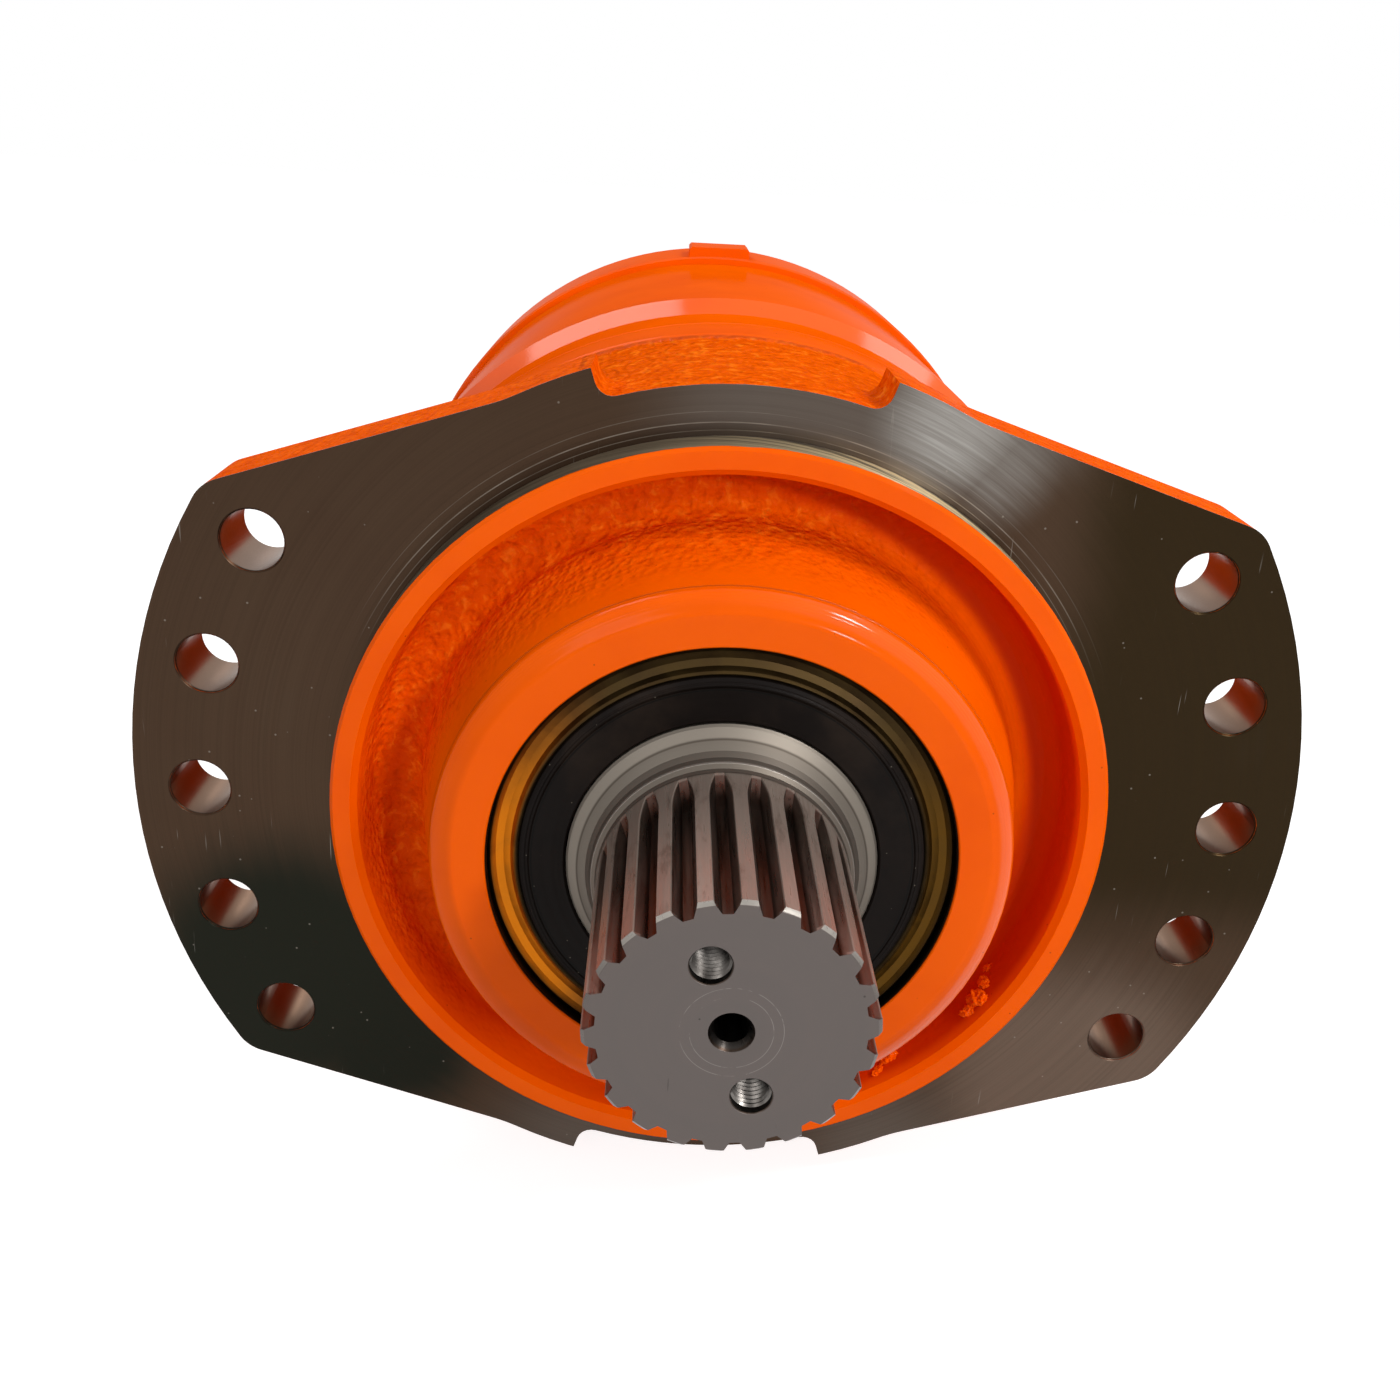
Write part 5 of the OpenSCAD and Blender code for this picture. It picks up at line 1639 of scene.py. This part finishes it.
@dataclass
class PaintRuns:
    """Lumps of spatter under the paint, on the inner wall of the pilot ring."""

    wall_r_mm: float = 106.6
    width: float = 0.62
    roughness: float = 1.7
    grain: float = 0.26
    grain_step: float = 0.02
    turn_step: float = 20.0
    lumps: tuple[tuple[float, float, float, float], ...] = (
        (-33.0, -2.0, 3.4, 1.5),
        (-35.5, -5.5, 4.6, 2.1),
        (-38.2, -7.0, 3.0, 1.4),
        (-31.2, 2.0, 2.4, 1.1),
        (-55.0, -4.0, 3.6, 1.6),
        (-57.6, -7.5, 2.2, 1.0),
    )

    def lump(self, number: int, spot: tuple[float, float, float, float]) -> bpy.types.Object:
        """Model one rough lump.

        Args:
            number: Number of the lump, which also picks its shape.
            spot: Angle in degrees, place along Y, half length and height, in millimetres.

        Returns:
            The lump.
        """
        angle, y_mm, reach_mm, height_mm = spot
        Bench.clear()
        bpy.ops.mesh.primitive_ico_sphere_add(
            subdivisions=5, radius=reach_mm * MM, location=(0, 0, 0)
        )
        piece = Bench.named(f"paint_run_{number}")
        bpy.ops.object.mode_set(mode="EDIT")
        bpy.ops.mesh.select_all(action="SELECT")
        bpy.ops.transform.resize(
            value=(1.0, self.width, height_mm / reach_mm), center_override=(0, 0, 0)
        )
        bpy.ops.object.mode_set(mode="OBJECT")
        lumpy = bpy.data.textures.new(f"lumpy_{number}", "CLOUDS")
        lumpy.noise_scale = (self.grain + self.grain_step * number) * reach_mm * MM
        lumpy.noise_depth = 4
        rough = piece.modifiers.new("rough", "DISPLACE")
        rough.texture = lumpy
        rough.texture_coords = "LOCAL"
        rough.strength = self.roughness * height_mm * MM
        Bench.apply_modifiers(piece)
        wall = polar(self.wall_r_mm, angle, y_mm)
        inward = wall - polar(self.wall_r_mm + 10, angle, y_mm)
        Bench.settle(piece, along(wall, wall + inward, self.turn_step * number), 60)
        return piece

    def build(self, palette: Palette) -> None:
        """Model the lumps and seat them.

        Args:
            palette: The finishes.
        """
        for number, spot in enumerate(self.lumps, start=1):
            piece = self.lump(number, spot)
            Bench.dress(piece, palette.cast_enamel)
            Bench.seat(piece, HOUSING, "orange_paint")


@dataclass
class ShaftEnd:
    """The splined shaft with its tapped holes."""

    end_y_mm: float = -112.0
    hole_offset_mm: float = 18.75
    hole_angle: float = 107.8
    hole_r_mm: float = 5.0
    thread_pitch_mm: float = 1.5
    thread_turns: int = 14

    def build(self, nodes: Pieces, palette: Palette) -> None:
        """Dress the shaft and thread its holes.

        Args:
            nodes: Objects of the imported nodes.
            palette: The finishes.
        """
        Bench.dress(nodes["splined_shaft"], palette.shaft)
        for number, extra in enumerate((0.0, 180.0), start=1):
            thread = TappedThread(
                f"shaft_end_thread_{number}",
                polar(self.hole_offset_mm, self.hole_angle + extra, self.end_y_mm),
                Vector((0, 1, 0)),
                self.hole_r_mm,
                self.thread_pitch_mm,
                self.thread_turns,
            )
            thread.build(palette.thread, ROTOR, "shaft_steel")


@dataclass
class BrakeScrews:
    """The ring of screws that holds the brake cover."""

    count: int = 8
    circle_r_mm: float = 127.0
    seat_y_mm: float = 316.0

    def build(self, palette: Palette) -> None:
        """Model the screws in place of the plain ones.

        Args:
            palette: The finishes.
        """
        first = None
        for number in range(self.count):
            seat = polar(self.circle_r_mm, number * 360 / self.count, self.seat_y_mm)
            screw = SocketScrew(f"brake_screw_{number + 1}", seat, Vector((0, 1, 0)))
            piece = screw.build(palette.black_oxide, HOUSING, "black_steel")
            first = first or piece
        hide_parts("brake_screws")


@dataclass
class Ports:
    """Threads of the two main ports."""

    angles: tuple[float, float] = (225.0, 315.0)
    y_mm: float = 216.0
    face_r_mm: float = 146.0
    thread_r_mm: float = 16.6
    pitch_mm: float = 2.309
    turns: int = 7
    depth_mm: float = 1.1
    segments: int = 64

    def build(self, palette: Palette) -> None:
        """Thread both ports.

        Args:
            palette: The finishes.
        """
        for number, angle in enumerate(self.angles, start=1):
            mouth = polar(self.face_r_mm, angle, self.y_mm)
            inward = polar(-1000.0, angle, 0.0)
            thread = TappedThread(
                f"main_port_thread_{number}",
                mouth,
                inward,
                self.thread_r_mm,
                self.pitch_mm,
                self.turns,
                depth_mm=self.depth_mm,
                segments=self.segments,
            )
            thread.build(palette.turned, HOUSING, "orange_paint")


@dataclass
class Internals:
    """Seal, bearings, hydraulic group and brake, dressed as they are packed."""

    rubber: tuple[str, ...] = (
        "shaft_seal",
        "distributor_seals",
        "casing_o_rings",
        "brake_piston_seals",
    )
    ground: tuple[str, ...] = (
        "front_bearing_cup",
        "front_bearing_cone",
        "front_bearing_rollers",
        "rear_bearing_cup",
        "rear_bearing_cone",
        "rear_bearing_rollers",
    )
    spring: tuple[str, ...] = (
        "front_bearing_cage",
        "rear_bearing_cage",
        "bearing_nut",
        "tab_washer",
        "garter_spring",
        "distributor_springs",
        "distributor_pins",
        "dowel_pins",
        "brake_plates",
        "disc_spring",
        "brake_piston",
        "brake_shaft",
    )
    iron: tuple[str, ...] = ("cylinder_block", "distributor")
    black: tuple[str, ...] = ("motor_screws", "drain_plugs", "brake_screws")
    pistons: int = 10

    def dress(self, nodes: Pieces, palette: Palette) -> None:
        """Give every inner piece its finish.

        Args:
            nodes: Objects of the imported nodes.
            palette: The finishes.
        """
        groups = (
            (self.rubber, palette.rubber),
            (self.ground, palette.ground),
            (self.spring, palette.spring),
            (self.iron, palette.iron),
            (self.black, palette.black_oxide),
            (("seal_case",), palette.zinc),
            (("plug_washers",), palette.copper),
            (("friction_discs",), palette.lining),
        )
        for names, material in groups:
            for name in names:
                Bench.dress(nodes[name], material)
        for number in range(1, self.pistons + 1):
            Bench.dress(nodes[f"piston_{number}"], palette.ground)
            Bench.dress(nodes[f"piston_roller_{number}"], palette.ground)
        LOG.info("inner pieces dressed")


@dataclass
class PhotoCamera:
    """Camera at the photograph's place, solved from the flange's circles."""

    place_mm: Place = (-21.396, -373.504, 192.550)
    roll: float = 3.045
    tilt: float = 22.069
    pan: float = 1.616
    focal_px: float = 1367.08
    frame_px: float = 1400.0
    centre_px: tuple[float, float] = (689.33, 683.15)
    sensor_width: float = 36.0
    clip: tuple[float, float] = (0.01, 50.0)

    def build(self) -> None:
        """Create the camera and make it the scene's own."""
        to_view = Matrix(((1, 0, 0), (0, 0, -1), (0, 1, 0)))
        turn = (
            Matrix.Rotation(math.radians(self.roll), 3, "Z")
            @ to_view
            @ Matrix.Rotation(math.radians(self.tilt), 3, "X")
            @ Matrix.Rotation(math.radians(self.pan), 3, "Z")
        )
        axes = Matrix((turn[0], -turn[1], -turn[2])).transposed()
        data = bpy.data.cameras.new("photo_camera")
        data.sensor_width = self.sensor_width
        data.lens = self.focal_px / self.frame_px * data.sensor_width
        data.shift_x = (self.frame_px / 2 - self.centre_px[0]) / self.frame_px
        data.shift_y = (self.centre_px[1] - self.frame_px / 2) / self.frame_px
        data.clip_start, data.clip_end = self.clip
        camera = bpy.data.objects.new("photo_camera", data)
        bpy.context.scene.collection.objects.link(camera)
        camera.matrix_world = Matrix.Translation(Vector(self.place_mm) * MM) @ axes.to_4x4()
        bpy.context.scene.camera = camera


@dataclass(frozen=True)
class Lamp:
    """One soft box."""

    name: str
    place: Place
    aim: Place
    size: tuple[float, float]
    watts: float

    def hang(self) -> None:
        """Hang the soft box."""
        data = bpy.data.lights.new(self.name, "AREA")
        data.shape = "RECTANGLE"
        data.size, data.size_y = self.size
        data.energy = self.watts
        data.color = WHITE
        lamp = bpy.data.objects.new(self.name, data)
        bpy.context.scene.collection.objects.link(lamp)
        here = Vector(self.place)
        turn = (Vector(self.aim) - here).to_track_quat("-Z", "Y").to_matrix().to_4x4()
        lamp.matrix_world = Matrix.Translation(here) @ turn


@dataclass
class Studio:
    """Pale floor, white surroundings and soft boxes."""

    floor_z: float = -0.1402
    floor_side: float = 16.0
    fill: float = 0.42
    floor_shade: float = 0.55
    floor_glow: float = 0.78
    lamps: tuple[Lamp, ...] = (
        Lamp("key_box", (0.6, -0.33, 0.85), (0.02, -0.03, 0.03), (0.3, 0.12), 5.0),
        Lamp("front_right_box", (0.5, -1.1, 0.42), (0.02, -0.03, 0.03), (0.12, 0.12), 5.4),
        Lamp("front_left_box", (-0.55, -1.15, 0.6), (0.0, 0.0, 0.0), (0.6, 0.5), 3.2),
        Lamp("top_right_box", (0.72, 0.78, 0.85), (0.05, 0.13, 0.12), (0.3, 0.3), 1.4),
        Lamp("top_left_box", (-0.5, 0.74, 1.03), (-0.05, 0.13, 0.12), (0.6, 0.5), 5.0),
    )

    def surround(self) -> None:
        """Make the world white to look at, and softer as a fill light."""
        world = bpy.data.worlds.new("studio")
        bpy.context.scene.world = world
        world.use_nodes = True
        nodes = Nodes(world.node_tree)
        strength = nodes.add("MapRange")
        seen = nodes.seen(Ray.CAMERA, Ray.MIRROR, Ray.THROUGH)
        for name, value in (("To Min", self.fill), ("To Max", 1.0), ("Value", seen)):
            nodes.feed(strength.inputs[name], value)
        light = nodes.add("Background")
        nodes.feed(light.inputs["Color"], WHITE)
        nodes.feed(light.inputs["Strength"], strength.outputs[0])
        nodes.feed(nodes.add("OutputWorld").inputs["Surface"], light.outputs[0])

    def floor_paint(self) -> bpy.types.Material:
        """Mix the floor's paint, which is lifted to white where it is seen.

        Returns:
            The material.
        """
        material = bpy.data.materials.new("pale_floor")
        material.use_nodes = True
        nodes = Nodes(material.node_tree)
        diffuse = nodes.add("BsdfDiffuse")
        nodes.feed(diffuse.inputs["Color"], (self.floor_shade,) * 3)
        glow = nodes.add("Emission")
        lift = nodes.times(nodes.seen(Ray.CAMERA, Ray.MIRROR), self.floor_glow)
        nodes.feed(glow.inputs["Strength"], lift)
        both = nodes.add("AddShader")
        nodes.feed(both.inputs[0], diffuse.outputs[0])
        nodes.feed(both.inputs[1], glow.outputs[0])
        nodes.feed(nodes.add("OutputMaterial").inputs["Surface"], both.outputs[0])
        return material

    def lay_floor(self) -> None:
        """Lay the pale floor that keeps the object's shadow."""
        Bench.clear()
        bpy.ops.mesh.primitive_plane_add(size=self.floor_side, location=(0, 0, 0))
        floor = Bench.named("floor")
        bpy.ops.object.mode_set(mode="EDIT")
        bpy.ops.mesh.select_all(action="SELECT")
        bpy.ops.mesh.subdivide(number_cuts=3)
        bpy.ops.object.mode_set(mode="OBJECT")
        floor.data.transform(Matrix.Translation((0, 0, self.floor_z)))
        Bench.dress(floor, self.floor_paint())
        Bench.clear()

    def build(self) -> None:
        """Set up the surroundings, the floor and the lamps."""
        self.surround()
        self.lay_floor()
        for lamp in self.lamps:
            lamp.hang()
        bpy.context.scene.view_settings.view_transform = "Standard"
        LOG.info("studio ready with %d lamps", len(self.lamps))


def main() -> None:
    """Load the frame, dress it, add the pieces and set up the studio."""
    logging.basicConfig(level=logging.INFO, format="%(name)s: %(message)s")
    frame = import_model()
    nodes = frame["nodes"]
    PhotoCamera().build()
    palette = Palette()
    Casings().dress(nodes, palette)
    PaintRuns().build(palette)
    Internals().dress(nodes, palette)
    ShaftEnd().build(nodes, palette)
    BrakeScrews().build(palette)
    Ports().build(palette)
    Studio().build()


if __name__ == "__main__":
    main()
